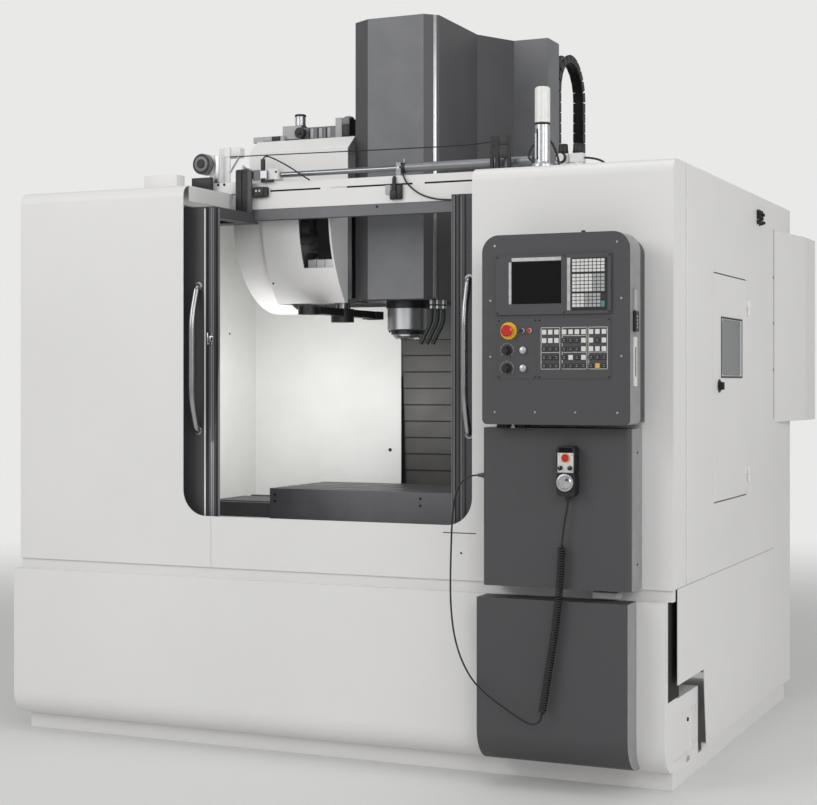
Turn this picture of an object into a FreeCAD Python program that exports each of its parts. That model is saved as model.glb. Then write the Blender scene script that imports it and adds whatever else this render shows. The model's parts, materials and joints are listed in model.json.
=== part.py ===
import FreeCAD, Part
import math
import os

V = FreeCAD.Vector

# Vertical machining center in a full enclosure. Millimetres, +Z up, +X to the operator's right,
# -Y towards the operator. The origin is on the floor, under the middle of the overall box, and the
# spindle stands over X = 0.

# overall
WIDTH = 2770.0            # lower skirt's left end to the rear cabinet's outer face
DEPTH = 2480.0            # emergency stop to the rear cabinet's back
SHEET = 3.0               # enclosure panels
FIT = 0.3                 # gap between pieces that move past each other
SLACK = 4.0               # gap beside a sheet that slides behind another

# enclosure planes
CONSOLE_DEPTH = 201.0
STOP_HEIGHT = 30.0        # emergency stop in front of the console
FRONT_Y = -DEPTH / 2 + STOP_HEIGHT + CONSOLE_DEPTH      # upper front panels
REAR_Y = DEPTH / 2 - 290.0
LEFT_X = -WIDTH / 2 + 13.0
RIGHT_X = WIDTH / 2 - 57.0
ROOF_Z = 2166.0
SEAM_Z = 695.0            # lower edge of the upper panels
SKIRT_PROUD = 26.0        # skirt in front of the upper panels
SKIRT_TOP = 655.0
SKIRT_BOTTOM = 61.0
SKIRT_BEND = 100.0
PANEL_BEND = 45.0         # rounded front edge of the roof
RETURN_DEPTH = 189.0      # front panel's return along the right side
PLINTH_TOP = 60.0
PLINTH_INSET = 69.0       # plinth behind the upper panels' front plane

# front door opening
OPENING_X = -7.0          # middle of the opening
OPENING_WIDTH = 1200.0
SILL_Z = 890.0
OPENING_CORNER = 100.0
BEAM_Y = -630.0           # front face of the cross beam
BEAM_DEPTH = 60.0
BEAM_HEIGHT = 105.0
RAIL_HEIGHT = 44.0        # dark rail under the beam

# front doors
CLEAR_WIDTH = OPENING_WIDTH - 207.0     # between the doors when open, as they stand
DOOR_GAP = 3.0            # between the doors when shut
DOOR_WIDTH = 640.0
DOOR_THICK = 40.0
DOOR_SETBACK = 62.0       # door face behind the front panels' plane
DOOR_TOP = 2083.0
DOOR_BOTTOM = 866.0
STILE = 60.0              # border of the door frame
WING_THICK = 40.0         # roof part of a door
GLASS = 6.0
HANDLE_BAR = 24.0         # tube diameter
HANDLE_LOW = 1215.0
HANDLE_HIGH = 1775.0
HANDLE_REACH = 52.0
HANDLE_BOW = 45.0

# operator console and dark covers
CONSOLE_X1 = RIGHT_X - 92.0
CONSOLE_X0 = CONSOLE_X1 - 525.0
CONSOLE_Z0 = 1259.0
CONSOLE_Z1 = 1904.0
CONSOLE_CORNER = 60.0
NECK_DEPTH = 83.0
NECK_INSET = 9.0
MID_X1 = CONSOLE_X1 - 18.0
MID_X0 = MID_X1 - 536.0
MID_Z0 = 699.0
MID_Z1 = 1246.0
MID_DEPTH = 127.0
LOW_X1 = CONSOLE_X1 - 30.0
LOW_X0 = LOW_X1 - 543.0
LOW_Z0 = 80.0
LOW_DEPTH = 105.0
COVER_BEND = 20.0

# machine axes
SPINDLE_Y = -244.0
TABLE_LENGTH = 1020.0
TABLE_WIDTH = 500.0
TABLE_TOP = 968.0
TABLE_THICK = 60.0
SLOT_COUNT = 5
SLOT_PITCH = 100.0
SLOT_WIDTH = 18.0
SLOT_HEAD = 30.0
SLOT_HEAD_HEIGHT = 12.0
SLOT_DEPTH = 32.0
X_TRAVEL = 400.0          # each way from the middle
Y_TRAVEL = 250.0
Z_TRAVEL = 510.0
WAY_Z = 620.0             # saddle's seat on the bed
NOSE_Z = 1586.0
COLUMN_Y = 340.0          # front of the column
COLUMN_WIDTH = 530.0
COLUMN_BASE = 860.0       # width of the column's foot
COLUMN_DEPTH = 520.0
COLUMN_TOP = 2840.0

# way cover of the Z ways: plates that slide behind each other
PLATES = 9
PLATE_PITCH = 73.0
PLATE_LAP = 16.0
PLATE_STEP = 4.0
PLATE_SHEET = 2.0
PLATE_WIDTH = 512.0
PLATE_Y = 270.0           # front of the top plate
PLATE_TOP = 1592.0

# tool changer
DRUM_Y = -140.0
DRUM_Z = 2080.0
DRUM_R = 385.0
DRUM_X0 = -704.0
DRUM_X1 = -204.0

# head
HEAD_HALF = 178.0
HEAD_FACE_HALF = 130.0
HEAD_LEFT = 197.0         # the left side, beside the tool changer
FACE_LEFT = 118.0
HEAD_Y = -380.0
HEAD_Z0 = 1740.0
FLARE_Y = 84.0
FLARE_HALF = 274.0


def box(x0, x1, y0, y1, z0, z1):
    """A block between two corners."""
    return Part.makeBox(x1 - x0, y1 - y0, z1 - z0, V(x0, y0, z0))


def rod(x, y, z, radius, length, axis):
    """A round bar that starts at a point and runs along an axis."""
    return Part.makeCylinder(radius, length, V(x, y, z), V(*axis))


def pipe(x, y, z, outer, inner, length, axis):
    """A tube that starts at a point and runs along an axis."""
    return rod(x, y, z, outer, length, axis).cut(rod(x, y, z, inner, length, axis))


def prism(points, along, length):
    """A closed outline of points, pushed along a vector's direction."""
    ring = [V(*p) for p in points]
    face = Part.Face(Part.makePolygon(ring + [ring[0]]))
    return face.extrude(V(*along) * length)


def plan(points, z0, z1):
    """An outline of (x, y) points between two heights."""
    return prism([(x, y, z0) for x, y in points], (0, 0, 1), z1 - z0)


def side(points, x0, x1):
    """An outline of (y, z) points between two widths."""
    return prism([(x0, y, z) for y, z in points], (1, 0, 0), x1 - x0)


def edges_along(shape, axis, keep):
    """The straight edges that run along an axis and whose middle point passes a test."""
    found = []
    for edge in shape.Edges:
        if len(edge.Vertexes) != 2:
            continue
        a, b = edge.Vertexes[0].Point, edge.Vertexes[1].Point
        run = b - a
        if run.Length < 1e-6 or abs(abs(run.dot(V(*axis))) / run.Length - 1.0) > 1e-6:
            continue
        if keep((a + b) * 0.5):
            found.append(edge)
    return found


def rounded(shape, radius, axis, keep=lambda p: True):
    """The shape with the chosen edges along an axis rounded."""
    return shape.makeFillet(radius, edges_along(shape, axis, keep))


def mirrored(shape, x):
    """The shape's mirror image across the plane at x."""
    return shape.mirror(V(x, 0, 0), V(1, 0, 0))


def group(solids):
    """Separate pieces that share one node."""
    return Part.makeCompound([s for shape in solids for s in shape.Solids])


def joined(shapes):
    """Pieces that touch or overlap, made one."""
    return shapes[0].multiFuse(shapes[1:]).removeSplitter()


# ---- bed, column and base tray ----

BACK_Y = PLATE_Y - 8.0    # white wall behind the working space

BED_X = 640.0             # half width of the bed casting
BED_Y0 = -760.0
BED_TOP = 540.0
BED_WAY_X = 360.0         # Y rails, each side of the middle
RAIL_W = 45.0
RAIL_H = 36.0
CARRIAGE_H = 44.0
PAD_R = 45.0
PAD_X = 560.0
PAD_Y = (-660.0, 60.0, 780.0)
BED_FOOT = 40.0
TRAY_WALL = 4.0
TRAY_RIGHT = WIDTH / 2 - 79.0
BLOCK_DEPTH = 345.0
BLOCK_WIDTH = 120.0
BLOCK_TOP = 306.0
RAIL_OUT = 32.0           # head rails in front of the column
RAIL_X = 210.0
RAIL_LOW = 1250.0


def levelling_pads():
    """Six turned pads under the bed, each with its screw."""
    pads = []
    for x in (-PAD_X, PAD_X):
        for y in PAD_Y:
            pad = Part.makeCone(PAD_R, PAD_R - 8, BED_FOOT, V(x, y, 0))
            pads.append(pad)
    return group(pads)


def bed_casting():
    """The cast bed: a ribbed box with two rails for the saddle and the column's seat behind."""
    body = box(-BED_X, BED_X, BED_Y0, REAR_Y - 90, BED_FOOT, BED_TOP)
    for x in (-BED_X, BED_X - 60):
        for y in (-560, -240, 80, 400):
            body = body.cut(box(x, x + 60, y, y + 220, BED_FOOT + 90, BED_TOP - 90))
    seat = box(-COLUMN_BASE / 2 - 40, COLUMN_BASE / 2 + 40, BACK_Y, REAR_Y - 90, BED_TOP, WAY_Z)
    rails = []
    for x in (-BED_WAY_X, BED_WAY_X):
        rails.append(box(x - RAIL_W / 2, x + RAIL_W / 2, BED_Y0 + 20, BACK_Y - 10, BED_TOP, BED_TOP + RAIL_H))
    return joined([body, seat] + rails)


def plinth_tray():
    """The base tray under the enclosure, with the lifting block at its right front corner."""
    y0 = FRONT_Y + PLINTH_INSET
    outer = box(LEFT_X + 2, TRAY_RIGHT, y0, REAR_Y - 20, 0, PLINTH_TOP)
    inner = box(LEFT_X + 2 + TRAY_WALL, TRAY_RIGHT - TRAY_WALL, y0 + TRAY_WALL, REAR_Y - 20 - TRAY_WALL,
                -1, PLINTH_TOP - TRAY_WALL)
    hole = box(-BED_X, BED_X, BED_Y0, REAR_Y - 90, -1, PLINTH_TOP + 1)
    tray = outer.cut(inner).cut(hole)
    x0 = TRAY_RIGHT - BLOCK_WIDTH
    block = box(x0, TRAY_RIGHT, y0, y0 + BLOCK_DEPTH, 0, BLOCK_TOP)
    block = block.cut(box(TRAY_RIGHT - 14, TRAY_RIGHT + 1, y0 + 30, y0 + BLOCK_DEPTH - 30, 90, BLOCK_TOP - 60))
    block = block.cut(rod(x0 - 1, y0 + BLOCK_DEPTH * 0.6, 55, 28, BLOCK_WIDTH + 2, (1, 0, 0)))
    return joined([tray, block])


def column():
    """The cast column on its wide foot, hollow at the back, with the two rails that carry the head."""
    half = COLUMN_WIDTH / 2
    y1 = COLUMN_Y + COLUMN_DEPTH
    body = plan([(-half, COLUMN_Y), (half, COLUMN_Y), (half, y1 - 60), (half - 60, y1), (-half + 60, y1),
                 (-half, y1 - 60)], WAY_Z, COLUMN_TOP)
    base = COLUMN_BASE / 2
    foot = prism([(-base, COLUMN_Y, WAY_Z), (base, COLUMN_Y, WAY_Z), (base, COLUMN_Y, WAY_Z + 300),
                  (half, COLUMN_Y, WAY_Z + 900), (-half, COLUMN_Y, WAY_Z + 900), (-base, COLUMN_Y, WAY_Z + 300)],
                 (0, 1, 0), COLUMN_DEPTH)
    pocket = box(-half + 90, half - 90, COLUMN_Y + 170, y1 - 40, WAY_Z + 500, COLUMN_TOP - 30)
    window = box(-150, 150, y1 - 50, y1 + 1, WAY_Z + 500, WAY_Z + 1300)
    body = joined([body, foot]).cut(pocket).cut(window)
    rails = [box(x - 24, x + 24, COLUMN_Y - RAIL_OUT, COLUMN_Y, RAIL_LOW, COLUMN_TOP - 40) for x in (-RAIL_X, RAIL_X)]
    return joined([body] + rails)


# ---- saddle and table ----

SADDLE_HALF_X = 470.0
SADDLE_HALF_Y = 225.0
SADDLE_COVER_X = 850.0
X_RAIL_Y = 165.0
X_RAIL_H = 36.0
X_RAIL_SLOT = 60.0
TABLE_SEAT = TABLE_TOP - TABLE_THICK
COVER_TOP = TABLE_SEAT - SLACK
COVER_DEPTH = 60.0
SKIRT_WALL = 14.0
SKIRT_LOW = 90.0


def saddle():
    """The cross slide: carriages on the bed's rails, and a long cover whose slots pass the table's rails."""
    z0 = BED_TOP + RAIL_H + CARRIAGE_H
    y0, y1 = SPINDLE_Y - SADDLE_HALF_Y, SPINDLE_Y + SADDLE_HALF_Y
    parts = [box(-SADDLE_HALF_X, SADDLE_HALF_X, y0, y1, z0, COVER_TOP - COVER_DEPTH)]
    for x in (-BED_WAY_X, BED_WAY_X):
        for y in (SPINDLE_Y - 150, SPINDLE_Y + 150):
            shoe = box(x - 60, x + 60, y - 60, y + 60, BED_TOP + 8, z0)
            shoe = shoe.cut(box(x - RAIL_W / 2 - FIT, x + RAIL_W / 2 + FIT, y - 61, y + 61, BED_TOP,
                                BED_TOP + RAIL_H + FIT))
            parts.append(shoe)
    cover = box(-SADDLE_COVER_X, SADDLE_COVER_X, y0, y1, COVER_TOP - COVER_DEPTH, COVER_TOP)
    slot_floor = COVER_TOP - X_RAIL_H - 10
    for y in (SPINDLE_Y - X_RAIL_Y, SPINDLE_Y + X_RAIL_Y):
        cover = cover.cut(box(-SADDLE_COVER_X - 1, SADDLE_COVER_X + 1, y - X_RAIL_SLOT / 2, y + X_RAIL_SLOT / 2,
                              slot_floor, COVER_TOP + 1))
        for x in (-100, 100):
            parts.append(box(x - 70, x + 70, y - X_RAIL_SLOT / 2, y + X_RAIL_SLOT / 2, slot_floor - 1,
                             TABLE_SEAT - X_RAIL_H - FIT))
    parts.append(cover)
    return joined(parts)


def tee_slot(y):
    """The space of one T-slot along the table."""
    half = TABLE_LENGTH / 2 + 1
    z0 = TABLE_TOP - SLOT_DEPTH
    neck = box(-half, half, y - SLOT_WIDTH / 2, y + SLOT_WIDTH / 2, z0 + 1, TABLE_TOP + 1)
    head = box(-half, half, y - SLOT_HEAD / 2, y + SLOT_HEAD / 2, z0, z0 + SLOT_HEAD_HEIGHT)
    return neck.fuse(head)


def table():
    """The table with its T-slots, its front and back skirts and the two rails beneath."""
    y0, y1 = SPINDLE_Y - TABLE_WIDTH / 2, SPINDLE_Y + TABLE_WIDTH / 2
    half = TABLE_LENGTH / 2
    top = box(-half, half, y0, y1, TABLE_SEAT, TABLE_TOP)
    for n in range(SLOT_COUNT):
        top = top.cut(tee_slot(SPINDLE_Y + (n - (SLOT_COUNT - 1) / 2) * SLOT_PITCH))
    parts = [top]
    for y in (y0, y1 - SKIRT_WALL):
        parts.append(box(-half, half, y, y + SKIRT_WALL, TABLE_SEAT - SKIRT_LOW, TABLE_SEAT))
    for y in (SPINDLE_Y - X_RAIL_Y, SPINDLE_Y + X_RAIL_Y):
        parts.append(box(-half, half, y - RAIL_W / 2, y + RAIL_W / 2, TABLE_SEAT - X_RAIL_H, TABLE_SEAT))
    return joined(parts)


# ---- enclosure panels ----

DOOR_FACE = FRONT_Y + DOOR_SETBACK
OPEN_X0 = OPENING_X - OPENING_WIDTH / 2
OPEN_X1 = OPENING_X + OPENING_WIDTH / 2
ROOF_BACK = COLUMN_Y + 60.0      # back edge of the roof beside the column
DRUM_CUT = 20.0                  # roof's gap around the tool changer cover


def bent_sheet(x0, x1, y_back):
    """Front wall and roof from one sheet, with the round bend between them."""
    y0, z0, z1, r, t = FRONT_Y, SEAM_Z, ROOF_Z, PANEL_BEND, SHEET
    c = math.cos(math.radians(45))
    outer_mid = V(x0, y0 + r - r * c, z1 - r + r * c)
    inner_mid = V(x0, y0 + r - (r - t) * c, z1 - r + (r - t) * c)
    pts = [V(x0, y, z) for y, z in ((y0, z0), (y0, z1 - r), (y0 + r, z1), (y_back, z1), (y_back, z1 - t),
                                    (y0 + r, z1 - t), (y0 + t, z1 - r), (y0 + t, z0))]
    edges = [Part.LineSegment(pts[0], pts[1]).toShape(),
             Part.Arc(pts[1], outer_mid, pts[2]).toShape(),
             Part.LineSegment(pts[2], pts[3]).toShape(),
             Part.LineSegment(pts[3], pts[4]).toShape(),
             Part.LineSegment(pts[4], pts[5]).toShape(),
             Part.Arc(pts[5], inner_mid, pts[6]).toShape(),
             Part.LineSegment(pts[6], pts[7]).toShape(),
             Part.LineSegment(pts[7], pts[0]).toShape()]
    return Part.Face(Part.Wire(edges)).extrude(V(x1 - x0, 0, 0))


def opening_cut():
    """The space of the front door opening, round at its lower corners, open through the roof."""
    r = OPENING_CORNER
    cut = box(OPEN_X0, OPEN_X1, FRONT_Y - 1, FRONT_Y + 12, SILL_Z, ROOF_Z + 1)
    cut = rounded(cut, r, (0, 1, 0), lambda p: p.z < SILL_Z + 1)
    return cut.fuse(box(OPEN_X0, OPEN_X1, FRONT_Y - 1, BEAM_Y + BEAM_DEPTH + 700, SILL_Z + 2 * r, ROOF_Z + 1))


LEFT_SEAM = OPEN_X0 + 106.0      # seam between the left housing and the panel under the doors
RIGHT_SEAM = MID_X0 - 9.0
LEFT_ROOF_STEP = 110.0           # left roof's cut beside the tool changer


def left_housing():
    """The left front panel bent into its roof and folded round to the left side."""
    sheet = bent_sheet(LEFT_X, LEFT_SEAM, REAR_Y)
    wall = box(LEFT_X, LEFT_X + SHEET, FRONT_Y + PANEL_BEND, FRONT_Y + RETURN_DEPTH, SEAM_Z, ROOF_Z - PANEL_BEND)
    sheet = sheet.cut(opening_cut())
    sheet = sheet.cut(box(OPEN_X0 - LEFT_ROOF_STEP, OPEN_X1, BEAM_Y + BEAM_DEPTH, REAR_Y + 1, ROOF_Z - 10, ROOF_Z + 1))
    sheet = sheet.cut(box(OPEN_X0 - 1, LEFT_SEAM + 1, FRONT_Y + SHEET + 1, REAR_Y, SEAM_Z, ROOF_Z + 1))
    front_wall = box(LEFT_X, LEFT_X + SHEET, FRONT_Y + SHEET, FRONT_Y + RETURN_DEPTH, SEAM_Z, ROOF_Z - PANEL_BEND)
    roof_wall = box(LEFT_X, LEFT_X + SHEET, FRONT_Y + PANEL_BEND, REAR_Y, ROOF_Z - PANEL_BEND, ROOF_Z - SHEET)
    flange = box(OPEN_X0 - SHEET, OPEN_X0, FRONT_Y + PANEL_BEND, BEAM_Y + BEAM_DEPTH, DOOR_TOP + 23, ROOF_Z)
    return joined([sheet, wall, front_wall, roof_wall, flange])


def sill_panel():
    """The panel under the doors, from seam to seam, folded in along its top."""
    x0, x1 = LEFT_SEAM, RIGHT_SEAM
    wall = box(x0, x1, FRONT_Y, FRONT_Y + SHEET, SEAM_Z, SILL_Z + 2 * OPENING_CORNER).cut(opening_cut())
    return wall


def right_housing():
    """The right front panel, bent into its roof and returned along the right side."""
    sheet = bent_sheet(RIGHT_SEAM, RIGHT_X, REAR_Y)
    top = bent_sheet(OPEN_X1, RIGHT_SEAM, REAR_Y)
    top = top.cut(box(OPEN_X1 - 1, RIGHT_SEAM + 1, FRONT_Y - 1, FRONT_Y + 60, SEAM_Z - 1, SILL_Z + 2 * OPENING_CORNER))
    wall = box(RIGHT_X - SHEET, RIGHT_X, FRONT_Y + SHEET, FRONT_Y + RETURN_DEPTH, SEAM_Z, ROOF_Z - PANEL_BEND)
    roof_wall = box(RIGHT_X - SHEET, RIGHT_X, FRONT_Y + PANEL_BEND, REAR_Y, ROOF_Z - PANEL_BEND, ROOF_Z - SHEET)
    flange = box(OPEN_X1, OPEN_X1 + SHEET, FRONT_Y + PANEL_BEND, BEAM_Y + BEAM_DEPTH, DOOR_TOP + 23, ROOF_Z)
    return joined([sheet, top, wall, roof_wall, flange])


SKIRT_Y = FRONT_Y - SKIRT_PROUD


def skirt_profile(y_front, z_low, z_top, bend, y_back, x0, x1):
    """A front wall that rolls under in a round bend and runs back along its bottom."""
    t = SHEET
    c = math.cos(math.radians(45))
    y0, r = y_front, bend
    pts = [V(x0, y, z) for y, z in ((y_back, z_top), (y0, z_top), (y0, z_low + r), (y0 + r, z_low), (y_back, z_low),
                                    (y_back, z_low + t), (y0 + r, z_low + t), (y0 + t, z_low + r),
                                    (y0 + t, z_top - t), (y_back, z_top - t))]
    outer_mid = V(x0, y0 + r - r * c, z_low + r - r * c)
    inner_mid = V(x0, y0 + r - (r - t) * c, z_low + r - (r - t) * c)
    edges = [Part.LineSegment(pts[0], pts[1]).toShape(),
             Part.LineSegment(pts[1], pts[2]).toShape(),
             Part.Arc(pts[2], outer_mid, pts[3]).toShape(),
             Part.LineSegment(pts[3], pts[4]).toShape(),
             Part.LineSegment(pts[4], pts[5]).toShape(),
             Part.LineSegment(pts[5], pts[6]).toShape(),
             Part.Arc(pts[6], inner_mid, pts[7]).toShape(),
             Part.LineSegment(pts[7], pts[8]).toShape(),
             Part.LineSegment(pts[8], pts[9]).toShape(),
             Part.LineSegment(pts[9], pts[0]).toShape()]
    return Part.Face(Part.Wire(edges)).extrude(V(x1 - x0, 0, 0))


def lower_skirt():
    """The lower front apron: a folded sheet that rolls under at its bottom edge, with end walls."""
    x0, x1 = -WIDTH / 2, TRAY_RIGHT
    back = FRONT_Y + 130
    sheet = skirt_profile(SKIRT_Y, SKIRT_BOTTOM, SKIRT_TOP, SKIRT_BEND, back, x0, x1)
    solid = box(x0, x1, SKIRT_Y, back, SKIRT_BOTTOM, SKIRT_TOP)
    solid = rounded(solid, SKIRT_BEND, (1, 0, 0), lambda p: p.z < SKIRT_BOTTOM + 1 and p.y < SKIRT_Y + 1)
    ends = [solid.common(box(x, x + SHEET, SKIRT_Y, back, SKIRT_BOTTOM, SKIRT_TOP)) for x in (x0, x1 - SHEET)]
    block = box(TRAY_RIGHT - BLOCK_WIDTH, x1 + 1, FRONT_Y + PLINTH_INSET, back + 1, 0, BLOCK_TOP)
    return joined([sheet] + ends).cut(block)


def seam_band():
    """The recessed band between the skirt and the upper panels, on which both rest."""
    return box(LEFT_X + 4, RIGHT_X - 4, FRONT_Y + 8, FRONT_Y + 40, SKIRT_TOP, SEAM_Z)


SIDE_LOW_Z = 85.0
SIDE_NOTCH_Y = PLINTH_INSET + 348.0
SIDE_NOTCH_Z = 366.0
SERVICE_Y0 = -443.0       # right side door
SERVICE_Y1 = 101.0
SERVICE_Z0 = 957.0
SERVICE_Z1 = 1807.0
SERVICE_GAP = 3.0
WINDOW_Y0 = -319.0
WINDOW_Y1 = -4.0
WINDOW_Z0 = 1428.0
WINDOW_Z1 = 1641.0
LATCH_Y = -366.0
LATCH_Z = 1389.0
LATCH_R = 16.0
HINGE_R = 6.0


def right_side_panel():
    """The upper right side wall with the service door's hole and its frame."""
    y0 = FRONT_Y + RETURN_DEPTH
    wall = box(RIGHT_X - SHEET, RIGHT_X, y0, REAR_Y, SEAM_Z, ROOF_Z - PANEL_BEND)
    g = SERVICE_GAP
    wall = wall.cut(box(RIGHT_X - 10, RIGHT_X + 1, SERVICE_Y0 - g, SERVICE_Y1 + g, SERVICE_Z0 - g, SERVICE_Z1 + g))
    lip = box(RIGHT_X - SHEET - 20, RIGHT_X - SHEET, SERVICE_Y0 - 25, SERVICE_Y1 + 25, SERVICE_Z0 - 25, SERVICE_Z1 + 25)
    hole = box(RIGHT_X - 60, RIGHT_X + 1, SERVICE_Y0 + 15, SERVICE_Y1 + g, SERVICE_Z0 + 15, SERVICE_Z1 - 15)
    return joined([wall, lip.cut(hole)])


def right_lower_panel():
    """The lower right side wall, cut away at the front over the base's corner block."""
    y0 = FRONT_Y + 57.0
    notch_y = FRONT_Y + SIDE_NOTCH_Y
    shape = [(y0, SIDE_NOTCH_Z), (notch_y, SIDE_NOTCH_Z), (notch_y + 40, SIDE_LOW_Z), (REAR_Y, SIDE_LOW_Z),
             (REAR_Y, SEAM_Z), (y0, SEAM_Z)]
    wall = side(shape, RIGHT_X - SHEET, RIGHT_X)
    foot = box(TRAY_RIGHT, RIGHT_X, notch_y + 60, REAR_Y - 40, SIDE_LOW_Z, SIDE_LOW_Z + SHEET)
    post = box(TRAY_RIGHT - 4, TRAY_RIGHT, notch_y + 60, REAR_Y - 40, PLINTH_TOP, SIDE_LOW_Z + SHEET)
    return joined([wall, foot, post])


def left_side_panel():
    """The left side wall, in one piece from the lower edge to the roof's bend."""
    wall = box(LEFT_X, LEFT_X + SHEET, FRONT_Y + RETURN_DEPTH, REAR_Y, SIDE_LOW_Z, ROOF_Z - PANEL_BEND)
    lower = box(LEFT_X, LEFT_X + SHEET, FRONT_Y + 130, FRONT_Y + RETURN_DEPTH, SIDE_LOW_Z, SEAM_Z)
    foot = box(LEFT_X, LEFT_X + 30, FRONT_Y + 130, REAR_Y - 40, SIDE_LOW_Z, SIDE_LOW_Z + SHEET)
    post = box(LEFT_X + 26, LEFT_X + 30, FRONT_Y + 130, REAR_Y - 40, PLINTH_TOP, SIDE_LOW_Z + SHEET)
    return joined([wall, lower, foot, post])


REAR_HALF = COLUMN_BASE / 2 + 60.0


def rear_panel():
    """Two rear walls, left and right of the column, tied by a strip under it."""
    y0, y1 = REAR_Y, REAR_Y + SHEET
    wall = box(LEFT_X, RIGHT_X, y0, y1, SIDE_LOW_Z, ROOF_Z)
    wall = wall.cut(box(-REAR_HALF, REAR_HALF, y0 - 1, y1 + 1, SIDE_LOW_Z + 500, ROOF_Z + 1))
    for n in range(8):
        z = 1500 + n * 40
        wall = wall.cut(box(-1150, -750, y0 - 1, y1 + 1, z, z + 16))
    return wall


SPLASH_X = 1000.0
SPLASH_Z0 = 700.0
SPLASH_TOP = 1960.0
SPLASH_STEP = 1700.0      # above it the walls stand wider, for the head's flared back
HEAD_GAP = 8.0


def splash_walls():
    """White walls round the working space: two at the back beside the way cover, one at each side, and chutes."""
    t = SHEET
    y0 = FRONT_Y + PLINTH_INSET + 50
    left = box(-SPLASH_X - t, -SPLASH_X, y0, BACK_Y + t, SPLASH_Z0, DRUM_Z - DRUM_R - 60)
    right = box(SPLASH_X, SPLASH_X + t, y0, BACK_Y + t, SPLASH_Z0, SERVICE_Z0 - 60)
    parts = [left, right]
    for s in (-1, 1):
        for edge, z0, z1 in ((PLATE_WIDTH / 2 + 3, SPLASH_Z0, SPLASH_STEP),
                             (FLARE_HALF + HEAD_GAP, SPLASH_STEP, SPLASH_TOP)):
            x0, x1 = sorted((s * edge, s * SPLASH_X))
            parts.append(box(x0, x1, BACK_Y, BACK_Y + t, z0, z1))
        x0, x1 = sorted((s * (SADDLE_COVER_X + 30), s * SPLASH_X))
        parts.append(box(x0, x1, y0, BACK_Y, SPLASH_Z0, SPLASH_Z0 + t))
    parts.append(box(-SPLASH_X, SPLASH_X, y0, y0 + t, SPLASH_Z0, SILL_Z - 60))
    for x in (-SPLASH_X - t, SPLASH_X - 30):
        parts.append(box(x, x + 33, y0 + 100, y0 + 130, PLINTH_TOP, SPLASH_Z0))
        parts.append(box(x, x + 33, BACK_Y - 130, BACK_Y - 100, PLINTH_TOP, SPLASH_Z0))
    return joined(parts)


def door_beam():
    """The white cross beam over the opening with its slotted front, and the dark rail below it."""
    x0, x1 = OPEN_X0, OPEN_X1
    z0 = ROOF_Z - BEAM_HEIGHT + 39
    t = SHEET
    front = box(x0, x1, BEAM_Y, BEAM_Y + t, z0, z0 + BEAM_HEIGHT)
    top = box(x0, x1, BEAM_Y + t, BEAM_Y + BEAM_DEPTH, z0 + BEAM_HEIGHT - t, z0 + BEAM_HEIGHT)
    low = box(x0, x1, BEAM_Y + t, BEAM_Y + BEAM_DEPTH, z0, z0 + t)
    for a, b in ((120, 400), (450, 800), (850, 1120)):
        front = front.cut(box(x0 + a, x0 + b, BEAM_Y - 1, BEAM_Y + t + 1, ROOF_Z + 2, ROOF_Z + 9))
    ends = [box(x, x + t, BEAM_Y, BEAM_Y + BEAM_DEPTH, z0, z0 + BEAM_HEIGHT) for x in (x0, x1 - t)]
    return joined([front, top, low] + ends)


def door_rail():
    """The dark rail under the beam that guides the doors' roof parts."""
    z1 = ROOF_Z - BEAM_HEIGHT + 39
    rail = box(OPEN_X0, OPEN_X1, BEAM_Y + 2, BEAM_Y + 42, z1 - RAIL_HEIGHT, z1)
    return rail.cut(box(OPEN_X0 - 1, OPEN_X1 + 1, BEAM_Y + 10, BEAM_Y + 34, z1 - RAIL_HEIGHT - 1, z1 - 8))


# ---- tubes that follow a route ----

def route_edges(points, radius_name=None):
    """Straight runs joined by tangent arcs, each as large as its two runs allow."""
    pts = [V(*p) for p in points]
    edges, start, radii = [], pts[0], []
    for before, here, after in zip(pts, pts[1:], pts[2:]):
        a, b = (before - here), (after - here)
        shorter = min(a.Length, b.Length)
        a.normalize()
        b.normalize()
        half_turn = (math.pi - a.getAngle(b)) / 2
        back = 0.45 * shorter
        radius = back / math.tan(half_turn)
        p, q = here + a * back, here + b * back
        inward = (a + b)
        inward.normalize()
        middle = here + inward * (radius / math.cos(half_turn) - radius)
        edges.append(Part.LineSegment(start, p).toShape())
        edges.append(Part.Arc(p, middle, q).toShape())
        radii.append(radius)
        start = q
    edges.append(Part.LineSegment(start, pts[-1]).toShape())
    if radius_name:
        print(radius_name, "bend radii:", " ".join(f"{r:.0f}" for r in radii))
    return edges


def tube(points, radius, name=None):
    """A round tube along a route."""
    wire = Part.Wire(route_edges(points, name))
    first = V(*points[1]) - V(*points[0])
    ring = Part.Wire(Part.makeCircle(radius, V(*points[0]), first))
    solid = wire.makePipeShell([ring], True, True)
    if name:
        ideal = wire.Length * math.pi * radius ** 2
        print(f"{name}: length {wire.Length:.0f} mm, volume {solid.Volume:.0f} against {ideal:.0f}")
    return solid


# ---- front doors ----

DOOR_TRAVEL = (CLEAR_WIDTH - DOOR_GAP) / 2
LEAD_LEFT = OPENING_X - CLEAR_WIDTH / 2      # leading edge of the left door, open
WINDOW_LOW = DOOR_BOTTOM + 180.0
WINDOW_HIGH = DOOR_TOP - 180.0
WINDOW_LAP = 12.0
RIB = 5.0
WING_BACK = BEAM_Y - 2.0
HANGER_Y = BEAM_Y - 30.0
HANGER_X = 36.0           # hanger's inner side, in from the leading edge
HANGER_W = 36.0
LEFT_HANGER_TOP = 2258.0
RIGHT_HANGER_TOP = 2330.0
HANDLE_X = 70.0


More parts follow.
